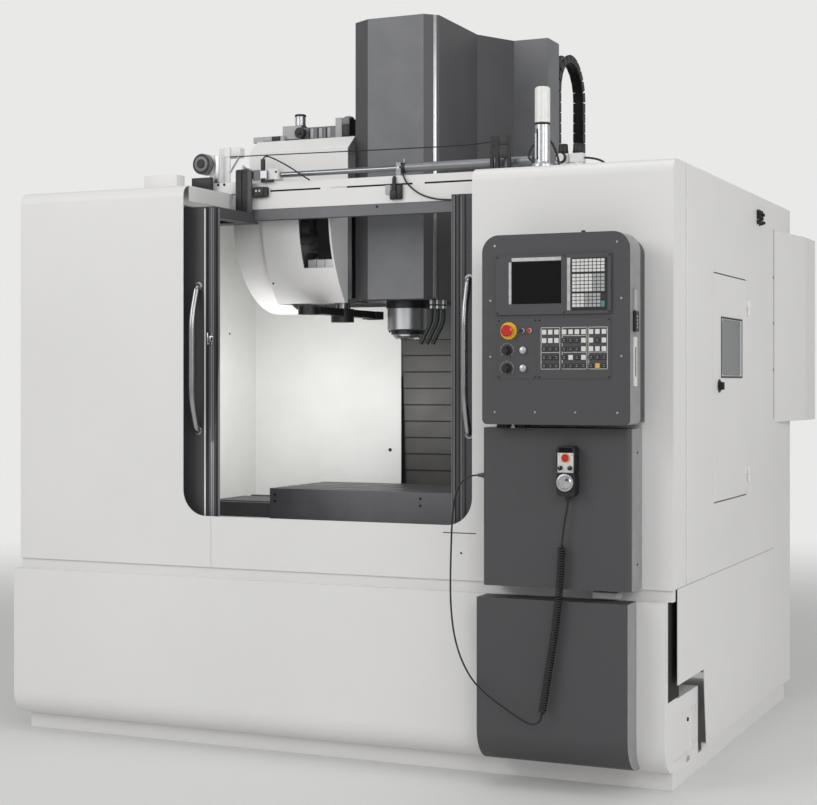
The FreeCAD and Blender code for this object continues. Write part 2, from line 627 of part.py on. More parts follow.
def door_frame(hanger_top):
    """The left door: a framed front with a window hole, a roof part behind it and a hanger bracket."""
    x1 = LEAD_LEFT
    x0 = x1 - DOOR_WIDTH
    y0 = DOOR_FACE
    y1 = y0 + DOOR_THICK
    front = box(x0, x1, y0, y1, DOOR_BOTTOM, DOOR_TOP)
    hole = box(x0 + STILE + 30, x1 - STILE - 60, y0 - 1, y1 + 1, WINDOW_LOW, WINDOW_HIGH)
    hole = rounded(hole, 30, (0, 1, 0))
    front = front.cut(hole)
    lap = WINDOW_LAP
    front = front.cut(box(x0 + STILE + 30 - lap, x1 - STILE - 60 + lap, y1 - 20, y1 - 20 + GLASS, WINDOW_LOW - lap,
                          WINDOW_HIGH + lap))
    rib = box(x1 - 52, x1 - 30, y0 - RIB, y0, DOOR_BOTTOM, DOOR_TOP)
    edge = box(x1 - 14, x1, y0 - RIB, y0, DOOR_BOTTOM, DOOR_TOP)
    wing = box(x0, x1, y1, WING_BACK, DOOR_TOP - WING_THICK, DOOR_TOP)
    wing = wing.cut(box(x0 + 60, x1 - 60, y1 + 50, WING_BACK - 50, DOOR_TOP - WING_THICK - 1, DOOR_TOP - 3))
    shelf = box(x0, x1, WING_BACK, BEAM_Y + 30, DOOR_TOP - WING_THICK, DOOR_TOP - WING_THICK + 9)
    z1 = ROOF_Z - BEAM_HEIGHT + 39 - 8 - FIT
    tongues = [box(x, x + 70, BEAM_Y + 14, BEAM_Y + 30, DOOR_TOP - WING_THICK + 9, z1) for x in (x0 + 40, x1 - 110)]
    hx = x1 - HANGER_X
    posts = []
    for x in (hx - HANGER_W, hx - 12):
        posts.append(box(x, x + 12, HANGER_Y, HANGER_Y + 12, DOOR_TOP, hanger_top))
    tie = box(hx - HANGER_W, hx, HANGER_Y, HANGER_Y + 12, DOOR_TOP, DOOR_TOP + 20)
    bar = box(hx - HANGER_W, hx, HANGER_Y + 2, HANGER_Y + 10, hanger_top - 40, hanger_top - 28)
    return joined([front, rib, edge, wing, shelf, tie, bar] + tongues + posts)


def door_window():
    """The left door's pane, held in the frame's groove."""
    x1 = LEAD_LEFT - STILE - 60 + WINDOW_LAP
    x0 = LEAD_LEFT - DOOR_WIDTH + STILE + 30 - WINDOW_LAP
    y1 = DOOR_FACE + DOOR_THICK - 20
    return box(x0, x1, y1, y1 + GLASS, WINDOW_LOW - WINDOW_LAP, WINDOW_HIGH + WINDOW_LAP)


def door_handle():
    """The left door's bow handle: a bent tube on two feet."""
    x = LEAD_LEFT - HANDLE_X
    y = DOOR_FACE
    out = y - HANDLE_REACH
    r = HANDLE_BAR / 2
    route = [(x, y, HANDLE_LOW), (x, y - HANDLE_REACH * 0.35, HANDLE_LOW + 8), (x, out, HANDLE_LOW + 120),
             (x, out, HANDLE_HIGH - 120), (x, y - HANDLE_REACH * 0.35, HANDLE_HIGH - 8), (x, y, HANDLE_HIGH)]
    bow = tube(route, r)
    feet = [rod(x, y - 6, z, r + 5, 6, (0, 1, 0)) for z in (HANDLE_LOW, HANDLE_HIGH)]
    bow = bow.cut(box(x - 60, x + 60, y, y + 60, HANDLE_LOW - 60, HANDLE_HIGH + 60))
    return joined([bow] + feet)


# ---- door cylinder over the beam ----

CYL_Z = 2237.0
CYL_Y = BEAM_Y + 22.0
CYL_R = 18.0
CYL_BORE = 15.0
PISTON_ROD_R = 11.0
BARREL_X0 = 135.0
BARREL_X1 = 678.0
ROD_X0 = -440.0
RUNNING = 0.05            # radial running clearance of the piston rod


def door_cylinder():
    """The pneumatic barrel that shuts the doors, on two feet over the beam."""
    barrel = pipe(BARREL_X0, CYL_Y, CYL_Z, CYL_R, CYL_BORE, BARREL_X1 - BARREL_X0, (1, 0, 0))
    top = ROOF_Z + 39
    front = box(BARREL_X0 - 14, BARREL_X0 + 6, CYL_Y - 20, CYL_Y + 20, top, CYL_Z + 20)
    front = front.cut(rod(BARREL_X0 - 15, CYL_Y, CYL_Z, PISTON_ROD_R + RUNNING, 25, (1, 0, 0)))
    rear = box(OPEN_X1 - 24, OPEN_X1 - 4, CYL_Y - 20, CYL_Y + 20, top, CYL_Z + 20)
    rear = rear.cut(rod(OPEN_X1 - 25, CYL_Y, CYL_Z, CYL_BORE, 25, (1, 0, 0)))
    cap = rod(BARREL_X1, CYL_Y, CYL_Z, CYL_R, 10, (1, 0, 0))
    port = rod(BARREL_X0 + 12, CYL_Y, CYL_Z + CYL_R - 2, 6, 20, (0, 0, 1))
    return joined([barrel, front, rear, cap, port])


def piston_rod():
    """The rod and piston, with the clamp block and arm that pull the left door's hanger."""
    x1 = BARREL_X0 + 22
    bar = rod(ROD_X0, CYL_Y, CYL_Z, PISTON_ROD_R, x1 - ROD_X0, (1, 0, 0))
    piston = rod(x1 - 12, CYL_Y, CYL_Z, CYL_BORE - RUNNING, 12, (1, 0, 0))
    block = box(ROD_X0 - 10, ROD_X0 + 40, CYL_Y - 20, CYL_Y + 20, CYL_Z - 18, CYL_Z + 18)
    hx = LEAD_LEFT - HANGER_X
    arm = box(hx - 2, ROD_X0, HANGER_Y + 12, HANGER_Y + 26, CYL_Z - 15, CYL_Z + 15)
    link = box(ROD_X0 - 10, ROD_X0, HANGER_Y + 12, CYL_Y - 10, CYL_Z - 15, CYL_Z + 15)
    tab = box(hx - 12, hx, HANGER_Y + 12, HANGER_Y + 26, CYL_Z - 15, CYL_Z + 15)
    return joined([bar, piston, block, arm, link, tab])


# ---- operator console and dark covers ----

CONSOLE_Y = FRONT_Y - CONSOLE_DEPTH
PLATE_PROUD = 2.0
CX = CONSOLE_X0           # the panels' places count from the console's left side
DISPLAY = (CX + 53, CX + 461, 1631.0, 1832.0)  # x0, x1, z0, z1
SCREEN = (CX + 111, CX + 288, 1667.0, 1810.0)
KEYPAD = (CX + 325, CX + 449, 1642.0, 1818.0)
STOP_PANEL = (CX + 55, CX + 200, 1414.0, 1618.0)
KEY_PANEL = (CX + 200.4, CX + 459, 1414.0, 1618.0)
DISPLAY_PROUD = 8.0
STOP_X = CX + 98.0
STOP_Z = 1577.0
STOP_RING_R = 29.0
STOP_HEAD_R = 20.0
STOP_STEM_R = 11.0
STOP_TRAVEL = 4.0
DIAL_X = CX + 92.0
DIAL_Z = (1511.0, 1450.0)
DIAL_R = 16.0
BUTTON_X = CX + 151.0
BUTTON_R = 11.0
BUTTON_TRAVEL = 3.0
BUTTON_HOLE = 9.0         # depth of the holes behind buttons and knobs
STEM_R = 8.0
KEY_BLOCKS = (CX + 219.0, CX + 290.0, CX + 384.0)
KEY_COUNTS = (3, 4, 3)    # columns of keys in each block
KEY_ROWS = 5
KEY_PITCH_X = 22.4
KEY_PITCH_Z = 28.5
KEY_SIZE = (14.0, 15.0)
KEY_TOP = 1578.5


def hole_behind(x, z, radius, front, depth):
    """The hole that a knob's stem passes through, from a front plane inwards."""
    return rod(x, front - 1, z, radius, depth + 1, (0, 1, 0))


def console_box():
    """The console's housing: a deep cover with round top corners on a narrower neck."""
    body = box(CONSOLE_X0, CONSOLE_X1, CONSOLE_Y, FRONT_Y - NECK_DEPTH, CONSOLE_Z0, CONSOLE_Z1)
    body = rounded(body, CONSOLE_CORNER, (0, 1, 0), lambda p: p.z > CONSOLE_Z1 - 1)
    low = 18.0
    body = rounded(body, low, (0, 1, 0), lambda p: p.z < CONSOLE_Z0 + 1)
    neck = box(CONSOLE_X0 + NECK_INSET, CONSOLE_X1 - NECK_INSET, FRONT_Y - NECK_DEPTH, FRONT_Y,
               CONSOLE_Z0 + NECK_INSET, CONSOLE_Z1 - NECK_INSET)
    neck = rounded(neck, CONSOLE_CORNER, (0, 1, 0), lambda p: p.z > CONSOLE_Z1 - NECK_INSET - 1)
    solid = joined([body, neck])
    depth = BUTTON_HOLE + STOP_TRAVEL + 1
    solid = solid.cut(hole_behind(STOP_X, STOP_Z, STOP_STEM_R + FIT, CONSOLE_Y, depth))
    for z in DIAL_Z:
        solid = solid.cut(hole_behind(DIAL_X, z, STEM_R + FIT, CONSOLE_Y, depth))
        solid = solid.cut(hole_behind(BUTTON_X, z, STEM_R + FIT, CONSOLE_Y, depth))
    return solid


def console_sides():
    """Three modules on the console's right side: a hinge tab, a port module and a card slot plate."""
    x = CONSOLE_X1
    tab = box(x, x + 6, CONSOLE_Y + 36, CONSOLE_Y + 62, 1640, 1712)
    port = box(x, x + 10, CONSOLE_Y + 30, CONSOLE_Y + 66, 1572, 1640)
    slot = box(x, x + 5, CONSOLE_Y + 30, CONSOLE_Y + 62, 1390, 1552)
    slot = slot.cut(box(x + 1, x + 6, CONSOLE_Y + 40, CONSOLE_Y + 52, 1420, 1520))
    return [tab, port, slot]


def display_unit():
    """The display's bezel with its sunk screen and the keypad's field of keys."""
    x0, x1, z0, z1 = DISPLAY
    y0 = CONSOLE_Y - DISPLAY_PROUD
    body = box(x0, x1, y0, CONSOLE_Y, z0, z1)
    sx0, sx1, sz0, sz1 = SCREEN
    body = body.cut(box(sx0, sx1, y0 - 1, y0 + 5, sz0, sz1))
    kx0, kx1, kz0, kz1 = KEYPAD
    body = body.cut(box(kx0, kx1, y0 - 1, y0 + 2, kz0, kz1))
    keys = []
    for row in range(9):
        for col in range(6):
            x = kx0 + 8 + col * 18.5
            z = kz1 - 18 - row * 18.5
            keys.append(box(x, x + 14, y0 + 1, y0 + 2, z, z + 12))
    return joined([body] + keys)


def key_panel():
    """The two plates under the display: one round the stop button and knobs, one with the key blocks."""
    y0 = CONSOLE_Y - PLATE_PROUD
    x0, x1, z0, z1 = STOP_PANEL
    left = box(x0, x1, y0, CONSOLE_Y, z0, z1)
    ring = rod(STOP_X, y0 - 3, STOP_Z, STOP_RING_R, 3, (0, 1, 0))
    left = joined([left, ring])
    left = left.cut(rod(STOP_X, y0 - 4, STOP_Z, STOP_STEM_R + FIT, 10, (0, 1, 0)))
    for z in DIAL_Z:
        left = left.cut(rod(DIAL_X, y0 - 4, z, STEM_R + FIT, 10, (0, 1, 0)))
        left = left.cut(rod(BUTTON_X, y0 - 4, z, STEM_R + FIT, 10, (0, 1, 0)))
    lamps = [rod(x, y0 - 4, STOP_Z, 7, 4, (0, 1, 0)) for x in (STOP_X + 49, STOP_X + 75)]
    left = joined([left] + lamps)
    x0, x1, z0, z1 = KEY_PANEL
    right = box(x0, x1, y0, CONSOLE_Y, z0, z1)
    keys = []
    for start, count in zip(KEY_BLOCKS, KEY_COUNTS):
        for col in range(count):
            for row in range(KEY_ROWS):
                x = start + col * KEY_PITCH_X
                z = KEY_TOP - row * KEY_PITCH_Z - KEY_SIZE[1]
                keys.append(box(x, x + KEY_SIZE[0], y0 - 2, y0, z, z + KEY_SIZE[1]))
    return group([left, joined([right] + keys)])


def emergency_stop():
    """The console's red mushroom button on its stem."""
    front = -DEPTH / 2
    head = Part.makeCone(STOP_HEAD_R - 4, STOP_HEAD_R, 5, V(STOP_X, front, STOP_Z), V(0, 1, 0))
    rim = rod(STOP_X, front + 5, STOP_Z, STOP_HEAD_R, 9, (0, 1, 0))
    stem = rod(STOP_X, front + 14, STOP_Z, STOP_STEM_R, CONSOLE_Y + BUTTON_HOLE - front - 14, (0, 1, 0))
    return joined([head, rim, stem])


def push_button(z):
    """A round push button with its stem."""
    front = CONSOLE_Y - PLATE_PROUD - FIT - BUTTON_TRAVEL - 5
    cap = rod(BUTTON_X, front, z, BUTTON_R, 5, (0, 1, 0))
    stem = rod(BUTTON_X, front + 5, z, STEM_R, CONSOLE_Y + BUTTON_HOLE - front - 5, (0, 1, 0))
    return joined([cap, stem])


def selector(z):
    """A round rotary knob with a grip bar, its stem in the panel."""
    back = CONSOLE_Y - PLATE_PROUD - FIT
    cap = rod(DIAL_X, back - 6, z, DIAL_R, 6, (0, 1, 0))
    grip = box(DIAL_X - 4, DIAL_X + 4, back - 18, back - 6, z - DIAL_R + 2, z + DIAL_R - 2)
    stem = rod(DIAL_X, back, z, STEM_R, BUTTON_HOLE, (0, 1, 0))
    return joined([cap, grip, stem])


def mid_dark_cover():
    """The dark cover under the console, with the gland of the pendant's cord on its left side."""
    body = box(MID_X0, MID_X1, FRONT_Y - MID_DEPTH, FRONT_Y, MID_Z0, MID_Z1)
    body = rounded(body, COVER_BEND, (0, 0, 1), lambda p: p.y < FRONT_Y - MID_DEPTH + 1)
    return body


def lower_dark_cover():
    """The dark cover over the skirt: its bottom rolls under along a large bend."""
    y0 = SKIRT_Y - LOW_DEPTH
    body = box(LOW_X0, LOW_X1, y0, SKIRT_Y + 60, LOW_Z0, SKIRT_TOP + 2)
    body = rounded(body, 120, (1, 0, 0), lambda p: p.z < LOW_Z0 + 1 and p.y < y0 + 1)
    skirt = box(LOW_X0 - 1, LOW_X1 + 1, SKIRT_Y, SKIRT_Y + 400, SKIRT_BOTTOM, SKIRT_TOP + 9)
    skirt = rounded(skirt, SKIRT_BEND, (1, 0, 0), lambda p: p.z < SKIRT_BOTTOM + 1 and p.y < SKIRT_Y + 1)
    body = body.cut(skirt)
    return body.Solids[0]


def console_fitting():
    """The short bright pipe with two black rings between the console and the dark cover below it."""
    y = FRONT_Y - (NECK_DEPTH + MID_DEPTH) / 2
    z0, z1 = MID_Z1, CONSOLE_Z0
    return [rod(x, y, z0, r, z1 - z0, (0, 0, 1)) for x, r in ((CX + 55, 16), (CX + 89, 24), (CX + 123, 16))]


# ---- hand pendant and its cord ----

PENDANT_X = MID_X0 + 320.0
PENDANT_W = 66.0
PENDANT_Z0 = 1017.0
PENDANT_Z1 = 1187.0
PENDANT_T = 45.0
PENDANT_DIAL_Z = 1064.0
PENDANT_DIAL_R = 29.0
PENDANT_STOP_Z = 1147.0
PENDANT_KNOB_Z = 1113.0
PENDANT_KNOB_DX = 17.0
GLAND_R = 9.0
GLAND_Z = 1077.0
GLAND_Y = FRONT_Y - MID_DEPTH + 46.0
CORD_R = 3.2
CURL_R = 14.0
PENDANT_Y = FRONT_Y - MID_DEPTH - PENDANT_T


def pendant_body():
    """The pendant's waisted housing with its control plate, small display window, hook and cable boot."""
    half = PENDANT_W / 2
    y0, y1 = PENDANT_Y, PENDANT_Y + PENDANT_T
    body = box(PENDANT_X - half, PENDANT_X + half, y0, y1, PENDANT_Z0, PENDANT_Z1)
    body = rounded(body, 14, (0, 1, 0))
    waist = PENDANT_Z0 + 78
    for x in (PENDANT_X - half - 9, PENDANT_X + half + 9):
        body = body.cut(rod(x, y0 - 1, waist, 13, PENDANT_T + 2, (0, 1, 0)))
    plate = box(PENDANT_X - half + 5, PENDANT_X + half - 5, y0 - 1.5, y0, 1098, PENDANT_Z1 - 23)
    window = box(PENDANT_X - half + 10, PENDANT_X + half - 10, y0 - 2, y0, PENDANT_Z1 - 20, PENDANT_Z1 - 6)
    boot = Part.makeCone(6, 9, 20, V(PENDANT_X, y0 + 24, PENDANT_Z0 - 20), V(0, 0, 1))
    solid = joined([body, plate, window, boot])
    for x, z in ((PENDANT_X, PENDANT_STOP_Z), (PENDANT_X - PENDANT_KNOB_DX, PENDANT_KNOB_Z),
                 (PENDANT_X + PENDANT_KNOB_DX, PENDANT_KNOB_Z), (PENDANT_X, PENDANT_DIAL_Z)):
        solid = solid.cut(rod(x, y0 - 3, z, 4 + FIT, 13, (0, 1, 0)))
    return solid


def pendant_dial():
    """The pendant's handwheel: a stepped disc with a crank pip, on its stem."""
    y = PENDANT_Y - 1.5 - FIT
    disc = rod(PENDANT_X, y - 8, PENDANT_DIAL_Z, PENDANT_DIAL_R, 8, (0, 1, 0))
    cap = Part.makeCone(PENDANT_DIAL_R - 9, PENDANT_DIAL_R - 5, 5, V(PENDANT_X, y - 13, PENDANT_DIAL_Z), V(0, 1, 0))
    pip = rod(PENDANT_X + 10, y - 20, PENDANT_DIAL_Z + 10, 5, 8, (0, 1, 0))
    stem = rod(PENDANT_X, y, PENDANT_DIAL_Z, 4, 9, (0, 1, 0))
    return joined([disc, cap, pip, stem])


def pendant_knob(x):
    """A small selector knob of the pendant."""
    y = PENDANT_Y - 1.5 - FIT
    cap = rod(x, y - 9, PENDANT_KNOB_Z, 7.5, 9, (0, 1, 0))
    bar = box(x - 1.5, x + 1.5, y - 12, y - 9, PENDANT_KNOB_Z - 6.5, PENDANT_KNOB_Z + 6.5)
    stem = rod(x, y, PENDANT_KNOB_Z, 4, 8, (0, 1, 0))
    return joined([cap, bar, stem])


def pendant_stop():
    """The pendant's red stop button."""
    y = PENDANT_Y - 1.5 - FIT - 3
    head = Part.makeCone(10, 12.5, 4, V(PENDANT_X, y - 9, PENDANT_STOP_Z), V(0, 1, 0))
    rim = rod(PENDANT_X, y - 5, PENDANT_STOP_Z, 12.5, 5, (0, 1, 0))
    stem = rod(PENDANT_X, y, PENDANT_STOP_Z, 4, 10, (0, 1, 0))
    return joined([head, rim, stem])


def cord_gland():
    """The hexagonal gland with its boot where the cord leaves the dark cover's left side."""
    x = MID_X0
    hexagon = [(GLAND_Y + 11 * math.cos(a), GLAND_Z + 11 * math.sin(a)) for a in
               [math.radians(60 * n) for n in range(6)]]
    nut = side(hexagon, x - 12, x)
    boot = Part.makeCone(GLAND_R, 5.5, 22, V(x - 12, GLAND_Y, GLAND_Z), V(-1, 0, 0))
    return joined([nut, boot])


def routed(points):
    """A route given from the dark cover's left side, forward of the front panels, and by height."""
    return [(MID_X0 + x, FRONT_Y - out, z) for x, out, z in points]


# the pendant's plain cord hangs from the gland to the floor side of the curly length
CORD_ROUTE = routed([
    (-34, 81, 1077), (-60, 81, 1075), (-105, 84, 1040), (-125, 89, 955), (-131, 96, 780),
    (-126, 105, 602), (-105, 117, 497), (-58, 141, 408), (18, 169, 337), (106, 173, 283),
    (146, 171, 258), (176, 169, 242), (204, 167, 236), (226, 165, 248), (232, 164, 274)])
# the curly length runs straight up to the pendant, a little bowed by its weight
CURL_ROUTE = routed([
    (232, 164, 274), (237, 163, 305), (245, 161, 355), (255, 159, 425), (268, 157, 505),
    (280, 156, 590), (290, 155, 680), (297, 154, 770), (300, 153, 850)])
TAIL_ROUTE = routed([
    (300, 153, 850), (302, 152, 875), (307, 150, 915), (314, 149, 955), (319, 148, 980),
    (320, 148, 997)])


# ---- things on the roof ----

TOWER_X = CX + 121.0
TOWER_Y = FRONT_Y + 75.0
TOWER_R = 27.0
TOWER_TOP = 2449.0


def signal_tower():
    """The signal tower: a flanged foot, a slotted tube, a dark ring and the lamp with its cap."""
    z = ROOF_Z
    foot = rod(TOWER_X, TOWER_Y, z, 38, 8, (0, 0, 1))
    tube_part = rod(TOWER_X, TOWER_Y, z + 8, TOWER_R, 140, (0, 0, 1))
    slot = box(TOWER_X - 30, TOWER_X - 12, TOWER_Y - 30, TOWER_Y - 14, z + 30, z + 120)
    tube_part = tube_part.cut(slot)
    ring = rod(TOWER_X, TOWER_Y, z + 148, TOWER_R - 2, 8, (0, 0, 1))
    lamp = rod(TOWER_X, TOWER_Y, z + 156, TOWER_R, TOWER_TOP - z - 164, (0, 0, 1))
    cap = Part.makeCone(TOWER_R, TOWER_R - 8, 8, V(TOWER_X, TOWER_Y, TOWER_TOP - 8), V(0, 0, 1))
    return joined([foot, tube_part, ring, lamp, cap])


def air_unit():
    """Two air regulators side by side on a bracket, with their knobs, bowls and a round gauge."""
    x0, y0, z0 = 790.0, -700.0, ROOF_Z
    base = box(x0, x0 + 120, y0, y0 + 60, z0, z0 + 6)
    parts = [base]
    for n, x in enumerate((x0 + 30, x0 + 86)):
        parts.append(rod(x, y0 + 30, z0 + 6, 18, 40, (0, 0, 1)))
        parts.append(box(x - 24, x + 24, y0 + 8, y0 + 52, z0 + 46, z0 + 78))
        parts.append(rod(x, y0 + 30, z0 + 78, 15, 34, (0, 0, 1)))
    parts.append(rod(x0 + 30, y0 - 8, z0 + 62, 19, 16, (0, 1, 0)))
    parts.append(box(x0 + 54, x0 + 62, y0 + 18, y0 + 42, z0 + 50, z0 + 74))
    return joined(parts)


CABINET_Y0 = 621.0
CABINET_Z0 = 1234.0
CABINET_Z1 = 2051.0


def electrical_cabinet():
    """The rear side cabinet: its front face slants out from the wall, with a door seam and hinges behind."""
    x1 = WIDTH / 2
    y_out = REAR_Y + 60
    points = [(RIGHT_X, CABINET_Y0), (x1, y_out), (x1, DEPTH / 2), (RIGHT_X - 400, DEPTH / 2),
              (RIGHT_X - 400, REAR_Y + SHEET), (RIGHT_X, REAR_Y + SHEET)]
    body = plan(points, CABINET_Z0, CABINET_Z1)
    groove = box(RIGHT_X - 380, x1 - 20, DEPTH / 2 - 3, DEPTH / 2 + 1, CABINET_Z0 + 20, CABINET_Z1 - 20)
    panel = box(RIGHT_X - 376, x1 - 24, DEPTH / 2 - 4, DEPTH / 2, CABINET_Z0 + 24, CABINET_Z1 - 24)
    return joined([body.cut(groove), panel])


TANK_Z = 420.0


def coolant_tank():
    """The coolant tank on the floor behind the machine, with its pump and lid."""
    y0 = REAR_Y + SHEET
    tank = box(-900, 500, y0, y0 + 240, 0, TANK_Z)
    pump = rod(100, y0 + 120, TANK_Z, 60, 180, (0, 0, 1))
    head = rod(100, y0 + 120, TANK_Z + 180, 70, 60, (0, 0, 1))
    lid = box(-880, 480, y0 + 20, y0 + 220, TANK_Z, TANK_Z + 4)
    return joined([tank, pump, head, lid])


# ---- energy chain of the head ----

CHAIN_X = 372.0
CHAIN_W = 48.0
CHAIN_LINK = 46.0
CHAIN_H = 34.0
CHAIN_BEND = 170.0
CHAIN_Y = COLUMN_Y + 290.0
CHAIN_TOP = 2685.0
CHAIN_LOW = 2200.0


def chain_link(y, z, angle):
    """The two side plates of one link, turned to lie along the chain."""
    a = math.radians(angle)
    along = V(0, math.cos(a), math.sin(a))
    across = V(0, -math.sin(a), math.cos(a))
    corners = []
    for s, t in ((-0.46, -0.5), (0.46, -0.5), (0.46, 0.5), (-0.46, 0.5)):
        p = V(0, y, z) + along * (s * CHAIN_LINK) + across * (t * CHAIN_H)
        corners.append((p.y, p.z))
    return [side(corners, x, x + 8) for x in (CHAIN_X, CHAIN_X + CHAIN_W - 8)]


def energy_chain():
    """The cable chain beside the column: one run up, a half-circle over and one run down."""
    y_a, y_b = CHAIN_Y - CHAIN_BEND, CHAIN_Y + CHAIN_BEND
    h = CHAIN_H * 0.32
    x0, x1 = CHAIN_X + 8, CHAIN_X + CHAIN_W - 8
    bands = [box(x0, x1, y - h, y + h, CHAIN_LOW, CHAIN_TOP) for y in (y_a, y_b)]
    half = pipe(x0, CHAIN_Y, CHAIN_TOP, CHAIN_BEND + h, CHAIN_BEND - h, x1 - x0, (1, 0, 0))
    bands.append(half.common(box(x0, x1, y_a - 100, y_b + 100, CHAIN_TOP, CHAIN_TOP + 400)))
    links = []
    count = int((CHAIN_TOP - CHAIN_LOW) / CHAIN_LINK)
    for n in range(count):
        z = CHAIN_TOP - (n + 0.5) * CHAIN_LINK
        links += chain_link(y_a, z, 90) + chain_link(y_b, z, 90)
    arc_links = int(math.pi * CHAIN_BEND / CHAIN_LINK)
    for n in range(arc_links):
        a = math.pi * (n + 0.5) / arc_links
        links += chain_link(CHAIN_Y - CHAIN_BEND * math.cos(a), CHAIN_TOP + CHAIN_BEND * math.sin(a),
                            90 - math.degrees(a))
    tray = box(COLUMN_WIDTH / 2, CHAIN_X, y_a - 20, y_b + 20, CHAIN_LOW - 60, CHAIN_LOW + 160)
    foot = box(CHAIN_X, CHAIN_X + CHAIN_W, y_a - 20, y_a + 20, CHAIN_LOW - 30, CHAIN_LOW + 6)
    return joined(bands + links + [tray, foot])


# ---- tool changer ----

DRUM_SHEET = 3.0
DRUM_BODY_X = DRUM_X0 + 110.0
RIM_LENGTH = 40.0         # sloping left rim
RIM_DROP = 70.0
HOOD_X0 = -516.0          # seam where the flatter front hood begins
HOOD_R = 552.0
HOOD_Z = 2095.0           # middle of the hood's bend; its axis lies at Y 0
HOOD_BOTTOM = 1728.0
UPPER_Y = -390.0          # front of the cover above the beam
UPPER_TOP = 2420.0
UPPER_SLOPE = (68.0, 55.0)     # slanted front shoulder: along Y, along Z
STEP_Z = (DRUM_Z + 70.0, DRUM_Z + 120.0)       # where the cover steps back behind the beam
SIGHT = (-347.0, -212.0, 1867.0, 2140.0)       # sight window: x0, x1, z0, z1
CAROUSEL_R = 268.0
POT_COUNT = 20
POT_RING_R = 230.0
POT_R = 30.0
POT_LENGTH = 60.0
AXLE_R = 40.0
BRACKET_X = -460.0        # changer's bracket, outside the head's cover wings
ARM_R = 300.0             # from the arm's shaft to the spindle and to each gripper
ARM_TOP = 1710.0
ARM_THICK = 34.0
ARM_DROP = 180.0          # the cam lowers the arm by this much while it turns to the spindle
ARM_SHAFT_R = 25.0
ARM_STUB = 21.0           # how far the arm's shaft stands in the quill
QUILL_R = 34.0
QUILL_TOP = 1965.0
GRIP_R = 46.0
GRIP_BORE = 32.0
CAM_BOX_Z = 1753.0
DECK_THICK = 18.0


def upper_form(x0, x1, front, inset):
    """The cover's form above the drum's axis, with a wall's thickness taken off all round."""
    t = inset
    y, z = UPPER_SLOPE
    back = DRUM_Y + DRUM_R
    top = UPPER_TOP - t
    corner = t * 0.4
    outline = [(front + t, DRUM_Z), (front + t, STEP_Z[0] - corner), (UPPER_Y + t, STEP_Z[1] - corner),
               (UPPER_Y + t, top - z + corner), (UPPER_Y + y + corner, top), (back - y, top), (back - t, top - z),
               (back - t, DRUM_Z)]
    return side(outline, x0, x1)


def drum_form(x0, x1, inset):
    """The drum's part of the cover: half round below, stepped back above."""
    radius = DRUM_R - inset
    half = box(x0 - 1, x1 + 1, DRUM_Y - DRUM_R - 1, DRUM_Y + DRUM_R + 1, DRUM_Z - DRUM_R - 1, DRUM_Z)
    low = rod(x0, DRUM_Y, DRUM_Z, radius, x1 - x0, (1, 0, 0)).common(half)
    return low.fuse(upper_form(x0, x1, DRUM_Y - DRUM_R, inset))


def hood_form(x0, x1, inset):
    """The flatter hood in front of the drum's right part."""
    radius = HOOD_R - inset
    quarter = box(x0 - 1, x1 + 1, -HOOD_R - 1, DRUM_Y, HOOD_BOTTOM - 1, HOOD_Z)
    low = rod(x0, 0, HOOD_Z, radius, x1 - x0, (1, 0, 0)).common(quarter)
    neck = box(x0, x1, -radius, DRUM_Y, HOOD_Z - 1, STEP_Z[0])
    return low.fuse(neck).fuse(upper_form(x0, x1, -HOOD_R, inset))


def rim_form(inset):
    """The sloping left rim, round below the drum's axis."""
    x0, radius = DRUM_X0 + inset, DRUM_R - inset
    cone = Part.makeCone(radius - RIM_DROP, radius, RIM_LENGTH, V(x0, DRUM_Y, DRUM_Z), V(1, 0, 0))
    return cone.common(box(x0 - 1, x0 + RIM_LENGTH + 1, -2000, 2000, 0, DRUM_Z + DRUM_R * 0.6))


def corner_room(inset):
    """The room that the head's flared back needs at the cover's right rear corner, along its whole height."""
    t = inset
    x0, y0 = DRUM_X1 + 2, FLARE_Y + 20 - t
    back = DRUM_Y + DRUM_R + 2
    slope = (FLARE_HALF - HEAD_HALF) / (PLATE_Y - FLARE_Y)
    return plan([(x0, y0), (x0, back), (x0 - (back - y0) * slope, back)], HOOD_BOTTOM - 60, UPPER_TOP + 1)


def magazine_cover():
    """The white cover of the tool drum: a shell with a sloping left rim, and a front hood with a sight window."""
    t = DRUM_SHEET
    x0 = DRUM_X0 + RIM_LENGTH
    outer = drum_form(x0, DRUM_X1, 0).fuse(rim_form(0)).fuse(hood_form(HOOD_X0, DRUM_X1, 0))
    inner = drum_form(x0 + t, DRUM_X1 + 1, t).fuse(rim_form(t)).fuse(hood_form(HOOD_X0 + t, DRUM_X1 + 1, t))
    shell = outer.cut(corner_room(0)).cut(inner.cut(corner_room(t)))
    mouth = box(HOOD_X0 + t, DRUM_X1 + 1, -HOOD_R - 1, DRUM_Y + DRUM_R + 1, DRUM_Z - DRUM_R - 1, HOOD_BOTTOM)
    x0, x1, z0, z1 = SIGHT
    window = box(x0, x1, -HOOD_R - 1, UPPER_Y - 40, z0, z1)
    shell = shell.cut(mouth).cut(window)
    cheek = hood_form(DRUM_X1 - t, DRUM_X1, 0).common(box(DRUM_X1 - t, DRUM_X1, -HOOD_R, UPPER_Y, HOOD_BOTTOM, STEP_Z[1]))
    gate = box(-ARM_R - 110, DRUM_X1 + 1, SPINDLE_Y - 70, SPINDLE_Y + 120, DRUM_Z - DRUM_R - 5, DRUM_Z - DRUM_R + 60)
    slot = box(BRACKET_X - 20 - SLACK, BRACKET_X + SLACK, DRUM_Y + DRUM_R - 20, DRUM_Y + DRUM_R + 1,
               DRUM_Z - 60 - SLACK, DRUM_Z + 60 + SLACK)
    return joined([shell, cheek]).cut(gate).cut(slot)


